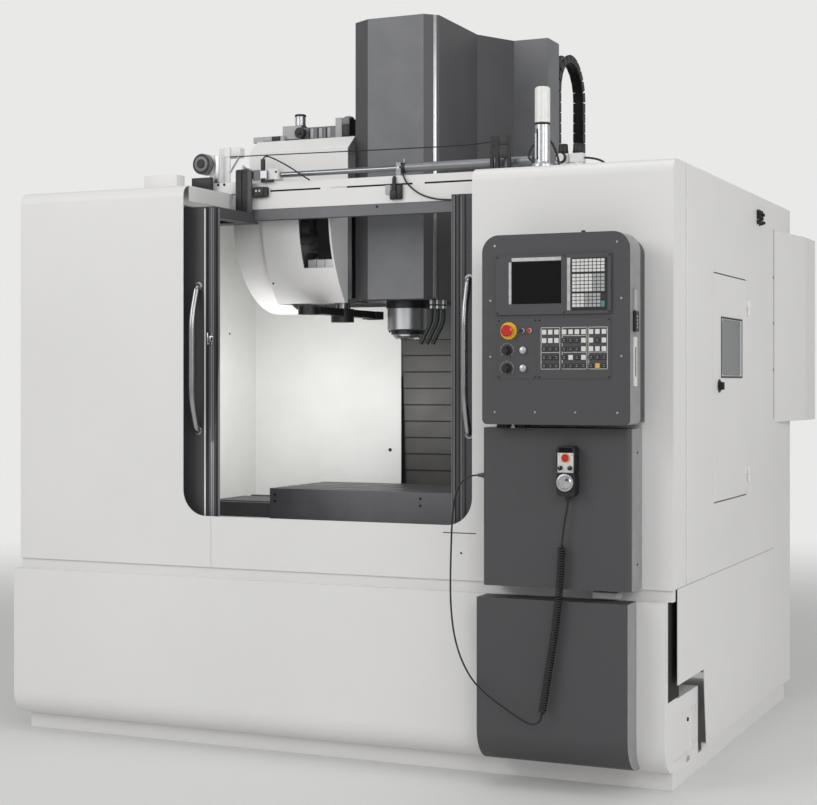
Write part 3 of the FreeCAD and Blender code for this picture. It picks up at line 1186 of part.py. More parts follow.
def carousel():
    """The tool drum: a disc with a ring of pots, each open at its outer end, on a hub."""
    x0 = DRUM_BODY_X
    disc = rod(x0, DRUM_Y, DRUM_Z, CAROUSEL_R, 24, (1, 0, 0))
    hub = rod(x0 + 24, DRUM_Y, DRUM_Z, 80, 40, (1, 0, 0))
    pots = []
    for n in range(POT_COUNT):
        a = 2 * math.pi * n / POT_COUNT
        y, z = DRUM_Y + POT_RING_R * math.cos(a), DRUM_Z + POT_RING_R * math.sin(a)
        pots.append(pipe(x0 + 24, y, z, POT_R, POT_R - 9, POT_LENGTH, (1, 0, 0)))
    drum = joined([disc, hub] + pots)
    return drum.cut(rod(x0 - 1, DRUM_Y, DRUM_Z, AXLE_R + RUNNING, 90, (1, 0, 0)))


def changer_frame():
    """The changer's frame: the drum's axle, the cam box of the arm, and the bracket round to the column's side."""
    y0 = DRUM_Y
    t = 20.0
    axle = rod(DRUM_X0 + DRUM_SHEET, y0, DRUM_Z, AXLE_R, -ARM_R + 40 - DRUM_X0 - DRUM_SHEET, (1, 0, 0))
    back_hub = rod(DRUM_X0 + DRUM_SHEET, y0, DRUM_Z, 70, t, (1, 0, 0))
    plate = box(BRACKET_X - t, BRACKET_X, y0 - 60, COLUMN_Y + 220, DRUM_Z - 60, DRUM_Z + 60)
    foot = box(BRACKET_X - t, -COLUMN_WIDTH / 2, COLUMN_Y + 100, COLUMN_Y + 220, DRUM_Z - 100, DRUM_Z + 100)
    cam_box = box(-ARM_R - 90, -ARM_R + 50, SPINDLE_Y - 50, SPINDLE_Y + 110, CAM_BOX_Z, DRUM_Z + 30)
    deck = box(-ARM_R - 160, -HEAD_LEFT - 14, SPINDLE_Y - 40, SPINDLE_Y + 60, CAM_BOX_Z - DECK_THICK, CAM_BOX_Z)
    frame = joined([axle, back_hub, plate, foot, cam_box, deck])
    low = CAM_BOX_Z - DECK_THICK
    return frame.cut(rod(-ARM_R, SPINDLE_Y, low - 1, QUILL_R + RUNNING, QUILL_TOP + 12 - low, (0, 0, 1)))


def changer_drives():
    """Drives on the cover's top: mounting plates, a clamp, an upright cylinder and two bodies lying across."""
    z = UPPER_TOP
    y = -250.0
    plate = box(-690, -545, y - 60, y + 60, z, z + 24)
    clamp = box(-560, -472, y - 40, y + 40, z, z + 66)
    upright = rod(-496, y, z + 66, 22, 42, (0, 0, 1))
    body = box(-472, -300, y - 30, y + 40, z, z + 56)
    small = box(-313, -250, y - 30, y + 30, z, z + 86)
    return joined([plate, clamp, upright, body, small])


def change_quill():
    """The quill that the cam lowers, with the arm's shaft turning inside it."""
    low = ARM_TOP + 2
    return pipe(-ARM_R, SPINDLE_Y, low, QUILL_R, ARM_SHAFT_R + RUNNING, QUILL_TOP - low, (0, 0, 1))


def change_arm():
    """The double change arm with a gripper at each end, parked beside the spindle, on its shaft."""
    x, y, z0 = -ARM_R, SPINDLE_Y, ARM_TOP - ARM_THICK
    hub = rod(x, y, z0 - 22, 48, ARM_THICK + 22, (0, 0, 1))
    shaft = rod(x, y, ARM_TOP, ARM_SHAFT_R, ARM_STUB, (0, 0, 1))
    reach = ARM_R - GRIP_BORE - 4
    bar = box(x - 26, x + 26, y - reach, y + reach, z0 + 4, ARM_TOP)
    parts = [hub, shaft, bar]
    for s in (-1, 1):
        ring = pipe(x, y + s * ARM_R, z0, GRIP_R, GRIP_BORE, ARM_THICK, (0, 0, 1))
        x0, x1 = sorted((x, x + s * -(GRIP_R + 10)))
        mouth = box(x0, x1, y + s * ARM_R - 22, y + s * ARM_R + 22, z0 - 1, ARM_TOP + 1)
        parts.append(ring.cut(mouth))
    return joined(parts)


# ---- head and spindle ----

HEAD_CHAMFER = HEAD_HALF - HEAD_FACE_HALF
HEAD_SHEET = 4.0
HEAD_TOP = 2884.0
RING_R = 84.0             # spindle cartridge
STEP_R = 66.0             # its stepped lower end
NOSE_R = 60.0
TAPER_R = 22.225          # spindle taper's mouth, 7 in 24
TAPER_DEPTH = 65.0
SHAFT_R = 60.0


WING_Z0 = 2250.0          # lower edge of the flared back and its wings
WING_HALF = 430.0
WING_Y1 = 416.0


def head_cover():
    """The head in its cover: slanted front corners, and above the walls a flared back with a wing at each side."""
    y_mid = COLUMN_Y - RAIL_OUT - 8
    y_flare = PLATE_Y
    left_flare_y = FLARE_Y + (HEAD_LEFT - HEAD_HALF) * (y_flare - FLARE_Y) / (FLARE_HALF - HEAD_HALF)
    front = [(-FACE_LEFT, HEAD_Y), (HEAD_FACE_HALF, HEAD_Y), (HEAD_HALF, HEAD_Y + HEAD_CHAMFER)]
    low = front + [(HEAD_HALF, y_mid), (-HEAD_LEFT, y_mid), (-HEAD_LEFT, HEAD_Y + HEAD_CHAMFER)]
    high = front + [(HEAD_HALF, FLARE_Y), (FLARE_HALF, y_flare), (FLARE_HALF, y_mid), (-FLARE_HALF, y_mid),
                    (-FLARE_HALF, y_flare), (-HEAD_LEFT, left_flare_y), (-HEAD_LEFT, HEAD_Y + HEAD_CHAMFER)]
    parts = [plan(low, HEAD_Z0, WING_Z0), plan(high, WING_Z0, HEAD_TOP)]
    t = HEAD_SHEET
    for s in (-1, 1):
        x0, x1 = sorted((s * FLARE_HALF, s * WING_HALF))
        parts.append(box(x0, x1, y_flare, y_flare + t, WING_Z0, HEAD_TOP))
        parts.append(box(x0, x1, y_flare, WING_Y1, HEAD_TOP - t, HEAD_TOP))
        x0, x1 = sorted((s * (WING_HALF - t), s * WING_HALF))
        parts.append(box(x0, x1, y_flare, WING_Y1, WING_Z0, HEAD_TOP))
        for z in (WING_Z0 - 280, WING_Z0 + 240):
            x = s * RAIL_X
            shoe = box(x - 45, x + 45, y_mid - 60, COLUMN_Y - 4, z, z + 120)
            parts.append(shoe.cut(box(x - 24 - FIT, x + 24 + FIT, COLUMN_Y - RAIL_OUT - FIT, COLUMN_Y, z - 1, z + 121)))
    parts.append(box(-HEAD_HALF, HEAD_HALF, PLATE_Y - 90, PLATE_Y + PLATE_SHEET, PLATE_TOP, HEAD_Z0))
    parts.append(way_plate(0))
    body = joined(parts)
    body = body.cut(rod(0, SPINDLE_Y, HEAD_Z0 - 1, RING_R + 2, 41, (0, 0, 1)))
    return body.cut(rod(0, SPINDLE_Y, HEAD_Z0 + 39, SHAFT_R + RUNNING, 150, (0, 0, 1)))


def spindle():
    """The spindle cartridge: a stepped nose round a tapered bore, on its shaft."""
    z0 = NOSE_Z
    tip = TAPER_R - TAPER_DEPTH * 7 / 48
    outline = [(TAPER_R, z0), (NOSE_R - 6, z0), (NOSE_R, z0 + 6), (NOSE_R, z0 + 12), (STEP_R, z0 + 12),
               (STEP_R, z0 + 30), (RING_R - 4, z0 + 30), (RING_R, z0 + 34), (RING_R, HEAD_Z0 + 38), (SHAFT_R, HEAD_Z0 + 38), (SHAFT_R, HEAD_Z0 + 180),
               (0, HEAD_Z0 + 180), (0, z0 + TAPER_DEPTH + 30), (tip, z0 + TAPER_DEPTH + 30), (tip, z0 + TAPER_DEPTH)]
    ring = [V(r, 0, z) for r, z in outline] + [V(TAPER_R, 0, z0)]
    solid = Part.Face(Part.makePolygon(ring)).revolve(V(0, 0, 0), V(0, 0, 1), 360)
    solid.translate(V(0, SPINDLE_Y, 0))
    for n in range(2):
        key = box(-NOSE_R - 2 + n * (NOSE_R + 32), -30 + n * (NOSE_R + 32), SPINDLE_Y - 8, SPINDLE_Y + 8, z0 - 6, z0 + 1)
        solid = solid.fuse(key.common(rod(0, SPINDLE_Y, z0 - 7, NOSE_R - 6, 20, (0, 0, 1))))
    return solid.removeSplitter()


def coolant_nozzles():
    """Three coolant nozzles under the head: silver fittings with bent dark hoses that aim at the tool."""
    pieces = []
    for n in range(3):
        x = RING_R + 32 + n * 20
        y = SPINDLE_Y - 20 + n * 16
        pieces.append(rod(x, y, HEAD_Z0 - 34, 9, 34, (0, 0, 1)))
        pieces.append(tube([(x, y, HEAD_Z0 - 34), (x, y, HEAD_Z0 - 90), (x - 44, y - 12, HEAD_Z0 - 176)], 7))
    return group([joined([pieces[2 * n], pieces[2 * n + 1]]) for n in range(3)])


def way_plate(n):
    """Plate n of the Z way cover, counted from the head down: a sheet whose lower lip wipes the next plate."""
    y = PLATE_Y + n * PLATE_STEP
    half = PLATE_WIDTH / 2
    z1 = PLATE_TOP - n * PLATE_PITCH + (PLATE_LAP if n else 0)
    z0 = PLATE_TOP - (n + 1) * PLATE_PITCH
    plate = box(-half, half, y, y + PLATE_SHEET, z0, z1)
    if n == PLATES - 1:
        return plate
    lip = box(-half, half, y + PLATE_SHEET, y + PLATE_STEP - FIT, z0, z0 + 8)
    return joined([plate, lip])


def last_plate():
    """The lowest plate, on its two struts from the column's foot."""
    y = PLATE_Y + (PLATES - 1) * PLATE_STEP
    z0 = PLATE_TOP - PLATES * PLATE_PITCH
    struts = [box(x - 20, x + 20, y + PLATE_SHEET, COLUMN_Y, z0, z0 + 12) for x in (-100, 100)]
    return joined([way_plate(PLATES - 1)] + struts)


# ---- right side service door ----

KNUCKLE_Z = (1040.0, 1700.0)
KNUCKLE_H = 30.0
HINGE_X = RIGHT_X + HINGE_R
HINGE_Y = SERVICE_Y1 + SERVICE_GAP / 2
PIN_R = 3.0


def fixed_knuckles():
    """The hinge knuckles and pins on the side wall."""
    parts = []
    for z in KNUCKLE_Z:
        knuckle = rod(HINGE_X, HINGE_Y, z - KNUCKLE_H, HINGE_R, KNUCKLE_H, (0, 0, 1))
        pin = rod(HINGE_X, HINGE_Y, z, PIN_R, KNUCKLE_H, (0, 0, 1))
        leaf = box(RIGHT_X, RIGHT_X + 3, SERVICE_Y1 + SERVICE_GAP, SERVICE_Y1 + 40, z - KNUCKLE_H, z)
        parts.append(joined([knuckle, pin, leaf]))
    return parts


def side_door():
    """The service door: a sheet with a window hole and turned edges, and its hinge leaves."""
    panel = box(RIGHT_X - SHEET, RIGHT_X, SERVICE_Y0, SERVICE_Y1, SERVICE_Z0, SERVICE_Z1)
    hole = box(RIGHT_X - 9, RIGHT_X + 9, WINDOW_Y0, WINDOW_Y1, WINDOW_Z0, WINDOW_Z1)
    panel = panel.cut(rounded(hole, 18, (1, 0, 0)))
    panel = panel.cut(rod(RIGHT_X - 9, LATCH_Y, LATCH_Z, STEM_R + FIT, 18, (1, 0, 0)))
    parts = [panel]
    for z in KNUCKLE_Z:
        barrel = pipe(HINGE_X, HINGE_Y, z + FIT, HINGE_R, PIN_R + RUNNING, KNUCKLE_H, (0, 0, 1))
        leaf = box(RIGHT_X, RIGHT_X + 3, SERVICE_Y1 - 40, SERVICE_Y1 - 2.5, z + FIT, z + FIT + KNUCKLE_H)
        parts += [barrel, leaf]
    return joined(parts)


def side_window():
    """The service door's grey pane, fixed behind its hole."""
    return box(RIGHT_X - SHEET - 5, RIGHT_X - SHEET, WINDOW_Y0 - 12, WINDOW_Y1 + 12, WINDOW_Z0 - 12, WINDOW_Z1 + 12)


def side_latch():
    """The quarter-turn latch: a grip outside, a stem through the door and a tongue inside."""
    grip = rod(RIGHT_X + FIT, LATCH_Y, LATCH_Z, LATCH_R, 10, (1, 0, 0))
    bar = box(RIGHT_X + FIT + 10, RIGHT_X + FIT + 20, LATCH_Y - 4, LATCH_Y + 4, LATCH_Z - 14, LATCH_Z + 14)
    stem = rod(RIGHT_X - 30, LATCH_Y, LATCH_Z, STEM_R, 30 + FIT, (1, 0, 0))
    tongue = box(RIGHT_X - 30, RIGHT_X - 26, LATCH_Y - 9, LATCH_Y + 9, LATCH_Z - 9, LATCH_Z + 72)
    return joined([grip, bar, stem, tongue])


# ---- all pieces, one file each ----

NODES = {
    "bed_casting": lambda: joined([bed_casting()] + levelling_pads().Solids),
    "plinth_tray": plinth_tray,
    "column": lambda: joined([column(), last_plate()]),
    "saddle": saddle,
    "table": table,
    "lower_skirt": lambda: joined([lower_skirt(), seam_band()]),
    "left_housing": left_housing,
    "sill_panel": sill_panel,
    "right_housing": right_housing,
    "right_side_panel": lambda: joined([right_side_panel()] + fixed_knuckles()),
    "outer_panels": lambda: group([right_lower_panel(), left_side_panel(), rear_panel()]),
    "splash_walls": splash_walls,
    "door_beam": lambda: group([door_beam(), door_rail()]),
    "left_door": lambda: door_frame(LEFT_HANGER_TOP),
    "left_window": door_window,
    "left_handle": door_handle,
    "piston_rod": piston_rod,
    "right_door": lambda: mirrored(door_frame(RIGHT_HANGER_TOP), OPENING_X),
    "right_window": lambda: mirrored(door_window(), OPENING_X),
    "right_handle": lambda: mirrored(door_handle(), OPENING_X),
    "door_cylinder": door_cylinder,
    "console_box": lambda: joined([console_box()] + console_sides()),
    "display_unit": display_unit,
    "key_panel": key_panel,
    "emergency_stop": emergency_stop,
    "push_button_1": lambda: push_button(DIAL_Z[0]),
    "push_button_2": lambda: push_button(DIAL_Z[1]),
    "selector_1": lambda: selector(DIAL_Z[0]),
    "selector_2": lambda: selector(DIAL_Z[1]),
    "dark_covers": lambda: group([joined([mid_dark_cover()] + console_fitting()), cord_gland(), lower_dark_cover()]),
    "pendant_body": pendant_body,
    "pendant_dial": pendant_dial,
    "pendant_stop": pendant_stop,
    "pendant_knob_1": lambda: pendant_knob(PENDANT_X - PENDANT_KNOB_DX),
    "pendant_knob_2": lambda: pendant_knob(PENDANT_X + PENDANT_KNOB_DX),
    "pendant_cord": lambda: group([tube(CORD_ROUTE, CORD_R, "pendant cord"), tube(TAIL_ROUTE, CORD_R, "upper end")]),
    "pendant_curl": lambda: tube(CURL_ROUTE, CURL_R, "curly length"),
    "signal_tower": signal_tower,
    "air_unit": air_unit,
    "electrical_cabinet": electrical_cabinet,
    "coolant_tank": coolant_tank,
    "energy_chain": energy_chain,
    "magazine_cover": magazine_cover,
    "carousel": carousel,
    "changer_frame": lambda: group([changer_frame(), changer_drives()]),
    "change_quill": change_quill,
    "change_arm": change_arm,
    "head_cover": head_cover,
    "spindle": spindle,
    "coolant_nozzles": coolant_nozzles,
    "side_door": side_door,
    "side_window": side_window,
    "side_latch": side_latch,
}
for plate_number in range(1, PLATES - 1):
    NODES[f"way_plate_{plate_number}"] = lambda n=plate_number: way_plate(n)


def main():
    os.makedirs("parts", exist_ok=True)
    for name, make in NODES.items():
        shape = make()
        print(name, "solids", len(shape.Solids), "valid", shape.isValid(), "volume", round(shape.Volume / 1e6, 2))
        shape.exportStep(f"parts/{name}.step")


main()
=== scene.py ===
"""Looks of an enclosed vertical machining center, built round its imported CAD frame. Metres."""

import json
import math

import bmesh
import bpy
from mathutils import Matrix, Vector

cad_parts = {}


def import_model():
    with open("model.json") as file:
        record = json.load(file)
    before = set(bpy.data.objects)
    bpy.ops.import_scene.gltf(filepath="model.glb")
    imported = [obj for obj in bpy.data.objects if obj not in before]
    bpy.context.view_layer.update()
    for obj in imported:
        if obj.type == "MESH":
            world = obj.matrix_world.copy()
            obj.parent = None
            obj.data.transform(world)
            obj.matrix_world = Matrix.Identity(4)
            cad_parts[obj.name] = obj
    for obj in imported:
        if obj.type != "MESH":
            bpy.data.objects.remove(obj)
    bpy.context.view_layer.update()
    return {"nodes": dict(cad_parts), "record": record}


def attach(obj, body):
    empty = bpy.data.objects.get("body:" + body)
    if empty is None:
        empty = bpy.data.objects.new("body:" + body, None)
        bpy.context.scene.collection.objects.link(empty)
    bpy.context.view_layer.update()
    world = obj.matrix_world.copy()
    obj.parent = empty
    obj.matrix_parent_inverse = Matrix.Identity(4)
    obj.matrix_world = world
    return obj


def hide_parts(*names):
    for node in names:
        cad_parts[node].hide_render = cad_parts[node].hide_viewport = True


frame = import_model()

# ---- sizes shared with the CAD source ----
FRONT_Y = -1.009          # upper front panels' plane
ROOF_Z = 2.166
RIGHT_X = 1.328           # right side panel's outer face
CONSOLE_Y = FRONT_Y - 0.201
MID_Y = FRONT_Y - 0.127   # middle dark cover's front
SPINDLE_Y = -0.244


# ---- camera ----

CAMERA_AT = (2.8296, -6.5687, 1.4)
CAMERA_TURN = 24.08       # degrees to the left of straight on
CAMERA_LENS = 74.03
HORIZON_SHIFT = -0.0239   # the photograph's horizon lies above its middle


def camera():
    """The photograph's camera: level, and turned to see the front and the right side."""
    data = bpy.data.cameras.new("camera")
    data.lens = CAMERA_LENS
    data.sensor_width = 36.0
    data.shift_y = HORIZON_SHIFT
    data.clip_end = 100.0
    eye = bpy.data.objects.new("camera", data)
    eye.location = CAMERA_AT
    eye.rotation_euler = math.radians(90), 0, math.radians(CAMERA_TURN)
    bpy.context.scene.collection.objects.link(eye)
    bpy.context.scene.camera = eye


# ---- shader nodes and colours ----

def linear(code):
    """An sRGB hex value, such as 8A8B8E, as linear colour with alpha 1."""
    parts = [int(code[n:n + 2], 16) / 255 for n in (0, 2, 4)]
    return tuple(c / 12.92 if c <= 0.04045 else ((c + 0.055) / 1.055) ** 2.4 for c in parts) + (1.0,)


def add(tree, kind, links=(), **settings):
    """Adds a node. A setting is a property of the node or the value of an input; links are (input, socket)."""
    node = tree.nodes.new(kind)
    for name, value in settings.items():
        if hasattr(node, name):
            setattr(node, name, value)
        else:
            node.inputs[name.replace("_", " ")].default_value = value
    for target, source in links:
        tree.links.new(source, node.inputs[target])
    return node


def start(name, code, roughness, metallic=0.0):
    """A new material with its colour and gloss on the shader's own sockets."""
    material = bpy.data.materials.new(name)
    material.use_nodes = True
    tree = material.node_tree
    shader = tree.nodes["Principled BSDF"]
    shader.inputs["Base Color"].default_value = linear(code)
    shader.inputs["Roughness"].default_value = roughness
    shader.inputs["Metallic"].default_value = metallic
    return material, tree, shader


def mottle(tree, shader, pale, deep, grain):
    """Colour that drifts between two hex values in patches of about grain metres."""
    place = add(tree, "ShaderNodeTexCoord")
    noise = add(tree, "ShaderNodeTexNoise", [("Vector", place.outputs["Object"])], Scale=1 / grain, Detail=4.0,
        Roughness=0.6)
    ramp = add(tree, "ShaderNodeValToRGB", [("Fac", noise.outputs["Fac"])])
    for stop, position, code in zip(ramp.color_ramp.elements, (0.28, 0.72), (deep, pale)):
        stop.position = position
        stop.color = linear(code)
    tree.links.new(ramp.outputs["Color"], shader.inputs["Base Color"])
    return noise


def texture(tree, shader, grain, height, stretch):
    """Bump from a noise with bumps of about grain metres, height metres deep, stretched along an axis."""
    place = add(tree, "ShaderNodeTexCoord")
    scaled = add(tree, "ShaderNodeMapping", [("Vector", place.outputs["Object"])])
    scaled.inputs["Scale"].default_value = stretch
    noise = add(tree, "ShaderNodeTexNoise", [("Vector", scaled.outputs["Vector"])], Scale=1 / grain, Detail=2.0)
    bump = add(tree, "ShaderNodeBump", [("Height", noise.outputs["Fac"])], Strength=1.0, Distance=height)
    tree.links.new(bump.outputs["Normal"], shader.inputs["Normal"])
    return noise


def gloss_by(tree, shader, noise, low, high):
    """Roughness that follows a noise between two values."""
    gloss = add(tree, "ShaderNodeMapRange", [("Value", noise.outputs["Fac"])], From_Min=0.3, From_Max=0.7, To_Min=low,
        To_Max=high)
    tree.links.new(gloss.outputs["Result"], shader.inputs["Roughness"])


# ---- materials ----

def finish(name, code, roughness, metallic=0.0, drift=(), gloss=(), grain=(), along=(1, 1, 1), sockets=None):
    """A material: colour drifting between two hex values, roughness between two values, and a bump grain."""
    material, tree, shader = start(name, code, roughness, metallic)
    noise = mottle(tree, shader, *drift) if drift else None
    if grain:
        bumps = texture(tree, shader, *grain, along)
        noise = noise or bumps
    if gloss:
        gloss_by(tree, shader, noise, *gloss)
    for socket, value in (sockets or {}).items():
        shader.inputs[socket].default_value = value
    return material


def plain_plastic(name, code, roughness=0.4):
    """ABS or silicone in one colour, with a faint moulded grain."""
    return finish(name, code, roughness, grain=(0.002, 0.00004))


# sheet steel sprayed with polyester powder: an even off-white with a faint orange peel, 1 mm on the real one
WHITE = finish("powder_coat_white", "E4E3E2", 0.36, 0.0, ("E6E5E4", "E2E1E0", 0.6), (0.32, 0.42), (0.0035, 0.00006))
# the same coat inside the working space, dulled a little by coolant
INSIDE = finish("powder_coat_white_inside", "DDDDDA", 0.42, 0.0, ("E8E8E6", "DEDEDB", 0.3), (0.34, 0.55),
    (0.004, 0.00006))
# fine-texture powder coat in graphite grey: matt, with a tight sandy grain, 0.5 mm on the real one
GRAPHITE = finish("powder_coat_graphite", "47474A", 0.52, 0.0, ("4C4C4F", "414143", 0.003), (), (0.0022, 0.00012))
# painted light on the console's and covers' side edges: a light grey coat, brighter and smoother than the faces, in
# place of the light that falls on those sides
PAINTED_SIDE_LIGHT = finish("painted_light_side_grey", "8E8E90", 0.4, 0.0, ("939395", "868688", 0.05), (), (0.003, 0.00006))
# satin mid-grey coat on the front of the head's cover, and a darker copy on its sides and under the head, which is
# painted shade; elsewhere the darker one is a plain dark grey coat
HEAD_GREY = finish("powder_coat_head_grey", "6A6B6E", 0.4, 0.0, ("6F7073", "646568", 0.12), (), (0.003, 0.00008))
DARK_GREY_AND_SHADE = finish("powder_coat_dark_grey_and_painted_shade", "4C4C4F", 0.44, 0.0, ("505053", "48484A", 0.3), (0.4, 0.5),
    (0.005, 0.00006))
# grey cast iron, ground and oiled, with grinding lines along the table
IRON = finish("ground_cast_iron", "57575A", 0.44, 0.45, ("5C5C5F", "515154", 0.09), (0.34, 0.5), (0.003, 0.00005),
    (0.04, 1, 1))
# stainless tube, brushed along its length
STAINLESS = finish("brushed_stainless", "A9A9AB", 0.28, 1.0, (), (0.22, 0.28), (0.0016, 0.000006), (1, 1, 0.04))
# hard chrome on a ground rod, nearly a mirror
CHROME = finish("hard_chrome", "8E8F92", 0.18, 1.0, (), (0.14, 0.24), (0.002, 0.00001), (0.05, 1, 1))
# clear anodised aluminium, a pale satin metal
ALUMINIUM = finish("turned_aluminium", "C4C5C7", 0.33, 0.9, ("CDCED0", "B9BABC", 0.02), (0.28, 0.4), (0.0015, 0.00003))
# grey anodised tube of the cylinder, drawn along its length
BARREL = finish("grey_anodised_tube", "8A8B8E", 0.4, 0.75, (), (0.36, 0.46), (0.003, 0.00002), (0.05, 1, 1))
# ground tool steel of the spindle cartridge, with rings from the lathe round its axis
TURNED = finish("turned_steel", "A2A3A5", 0.32, 0.9, (), (0.3, 0.38), (0.006, 0.00001), (0.04, 0.04, 1))
# bare cold-rolled steel of the telescopic covers: brownish grey, wiped with oil along the travel
COVER_STEEL = finish("telescopic_cover_steel", "413F3D", 0.46, 0.25, ("474643", "393836", 0.14), (0.36, 0.5),
    (0.004, 0.00003), (1, 1, 0.05))
# black-oxide steel sheet, oiled
BLACKENED = finish("blackened_steel", "222123", 0.42, 0.4, ("2A292A", "1B1A1B", 0.05), (0.32, 0.5), (0.004, 0.00004),
    (0.05, 1, 1))
# glass-filled nylon with a fine spark-eroded grain
BLACK = finish("black_moulded_plastic", "1A1A1B", 0.46, 0.0, ("202021", "151516", 0.004), (), (0.0016, 0.00008))
# polyurethane sheath of the pendant's cord, slightly shiny
RUBBER = finish("cord_polyurethane", "161617", 0.4, 0.0, ("1C1C1D", "111112", 0.02), (), (0.003, 0.00005))
# braided sleeve of the coolant hoses; its threads are 1 mm wide and drawn coarser
BRAID = finish("hose_braid", "151817", 0.55, 0.0, ("333B38", "0B0D0C", 0.0035), (), (0.003, 0.0006))
# red acetal buttons with a smooth moulded crown
RED = finish("red_acetal", "C4161C", 0.24, 0.0, ("CB1A1F", "B81319", 0.01), sockets={"Coat Weight": 0.4})
# laminated polycarbonate panes with a faint grey tint
PANE = finish("window_polycarbonate", "9EA3A6", 0.08, grain=(0.06, 0.00015),
    sockets={"Transmission Weight": 0.75, "IOR": 1.5, "Alpha": 0.75})
# a switched-off screen behind anti-glare glass
SCREEN = finish("screen_glass", "0C0D0F", 0.12, 0.0, ("0A0B0C", "060607", 0.08), sockets={"Specular IOR Level": 0.25})
# milky acrylic of the signal lamp, unlit
LAMP = finish("lamp_acrylic", "E9E9E6", 0.22, 0.0, ("EDEDEA", "E2E2DF", 0.02),
    sockets={"Subsurface Weight": 0.3, "Subsurface Radius": (0.01, 0.01, 0.01)})
KEY_WHITE = plain_plastic("key_white_abs", "D9D9D6")
KEY_GREY = plain_plastic("key_grey_abs", "A9AAAB")
KEY_DARK = plain_plastic("key_dark_abs", "2A2A2C")
KEY_TEAL = plain_plastic("key_teal_abs", "3F8C88")
YELLOW = plain_plastic("yellow_abs", "E2B21C")
GASKET = plain_plastic("epdm_gasket", "101011", 0.7)
EDGE_GREY = plain_plastic("edge_profile_grey", "77777A")

SLOTS = {
    "white_paint": WHITE, "inner_white_paint": INSIDE, "dark_grey_paint": GRAPHITE,
    "head_grey_paint": HEAD_GREY, "cast_iron": IRON, "brushed_steel": STAINLESS, "chrome": CHROME,
    "silver": ALUMINIUM, "black_plastic": BLACK, "black_metal": BLACKENED, "red_plastic": RED,
    "door_glass": PANE, "cord_rubber": RUBBER,
}


def dress_nodes():
    """Every CAD node takes the finish of its slot in the record."""
    for part in frame["record"]["subparts"]:
        node = frame["nodes"][part["node"]]
        node.data.materials.clear()
        node.data.materials.append(SLOTS[part["material_slot"]])


# ---- floor, backdrop and light ----

BACKDROP = "E9E9E8"


def floor():
    """A plain pale floor that fades into the backdrop's colour far behind the object."""
    work = bmesh.new()
    bmesh.ops.create_grid(work, x_segments=1, y_segments=1, size=60)
    mesh = bpy.data.meshes.new("floor")
    work.to_mesh(mesh)
    work.free()
    plane = bpy.data.objects.new("floor", mesh)
    plane.location = 0, 0, -0.0005
    bpy.context.scene.collection.objects.link(plane)
    material, tree, shader = start("floor_pale", "DEDEDD", 0.8)
    place = add(tree, "ShaderNodeTexCoord")
    far = add(tree, "ShaderNodeVectorMath", [(0, place.outputs["Object"])], operation="LENGTH")
    fade = add(tree, "ShaderNodeMapRange", [("Value", far.outputs["Value"])], interpolation_type="SMOOTHSTEP",
        From_Min=3.0, From_Max=9.0)
    path = add(tree, "ShaderNodeLightPath")
    seen = add(tree, "ShaderNodeMath", [(0, fade.outputs["Result"]), (1, path.outputs["Is Camera Ray"])],
        operation="MULTIPLY")
    glow = add(tree, "ShaderNodeEmission", Color=linear(BACKDROP), Strength=1.0)
    mix = add(tree, "ShaderNodeMixShader",
        [("Fac", seen.outputs["Value"]), (1, shader.outputs["BSDF"]), (2, glow.outputs["Emission"])])
    tree.links.new(mix.outputs["Shader"], tree.nodes["Material Output"].inputs["Surface"])
    mesh.materials.append(material)


def world():
    """Even soft light from all round; the camera and glass see it nearly white."""
    sky = bpy.data.worlds.new("studio")
    sky.use_nodes = True
    tree = sky.node_tree
    tree.nodes.clear()
    path = add(tree, "ShaderNodeLightPath")
    seen = add(tree, "ShaderNodeMath", operation="MAXIMUM")
    tree.links.new(path.outputs["Is Camera Ray"], seen.inputs[0])
    tree.links.new(path.outputs["Is Transmission Ray"], seen.inputs[1])
    soft = add(tree, "ShaderNodeBackground", Color=linear("FFFFFF"), Strength=0.5)
    shown = add(tree, "ShaderNodeBackground", Color=linear(BACKDROP), Strength=1.0)
    mix = add(tree, "ShaderNodeMixShader", [("Fac", seen.outputs["Value"])])
    tree.links.new(soft.outputs["Background"], mix.inputs[1])
    tree.links.new(shown.outputs["Background"], mix.inputs[2])
    add(tree, "ShaderNodeOutputWorld", [("Surface", mix.outputs["Shader"])])
    bpy.context.scene.world = sky
    bpy.context.scene.view_settings.view_transform = "Standard"


def lamp(name, at, aim, size, power):
    """A square soft box at a place, aimed at a point, and out of the camera's sight."""
    data = bpy.data.lights.new(name, "AREA")
    data.size = size
    data.energy = power
    light = bpy.data.objects.new(name, data)
    light.location = at
    light.rotation_euler = (Vector(aim) - Vector(at)).to_track_quat("-Z", "Y").to_euler()
    light.visible_camera = False
    bpy.context.scene.collection.objects.link(light)


def lights():
    """A large soft key from the front left, weaker ones from the side and above, and the work light inside."""
    lamp("key", (-3.5, -6.5, 4.5), (0, -0.5, 1.3), 4.0, 140)
    lamp("side", (6.5, -2.0, 3.5), (1.0, 0, 1.2), 3.0, 92)
    lamp("front_right", (4.2, -6.2, 3.6), (0.6, -0.8, 1.5), 3.0, 74)
    lamp("top", (0.3, -1.2, 5.6), (0.1, -0.4, 0.9), 2.5, 28)
    lamp("opening_fill", (-0.1, -0.92, 1.3), (-0.15, 0.3, 1.15), 0.85, 2.6)
    lamp("work_light", (-0.42, -0.42, 1.34), (-0.84, 0.26, 1.42), 0.4, 3.9)


# ---- the pendant's cord ----

CORD_D = 0.0064
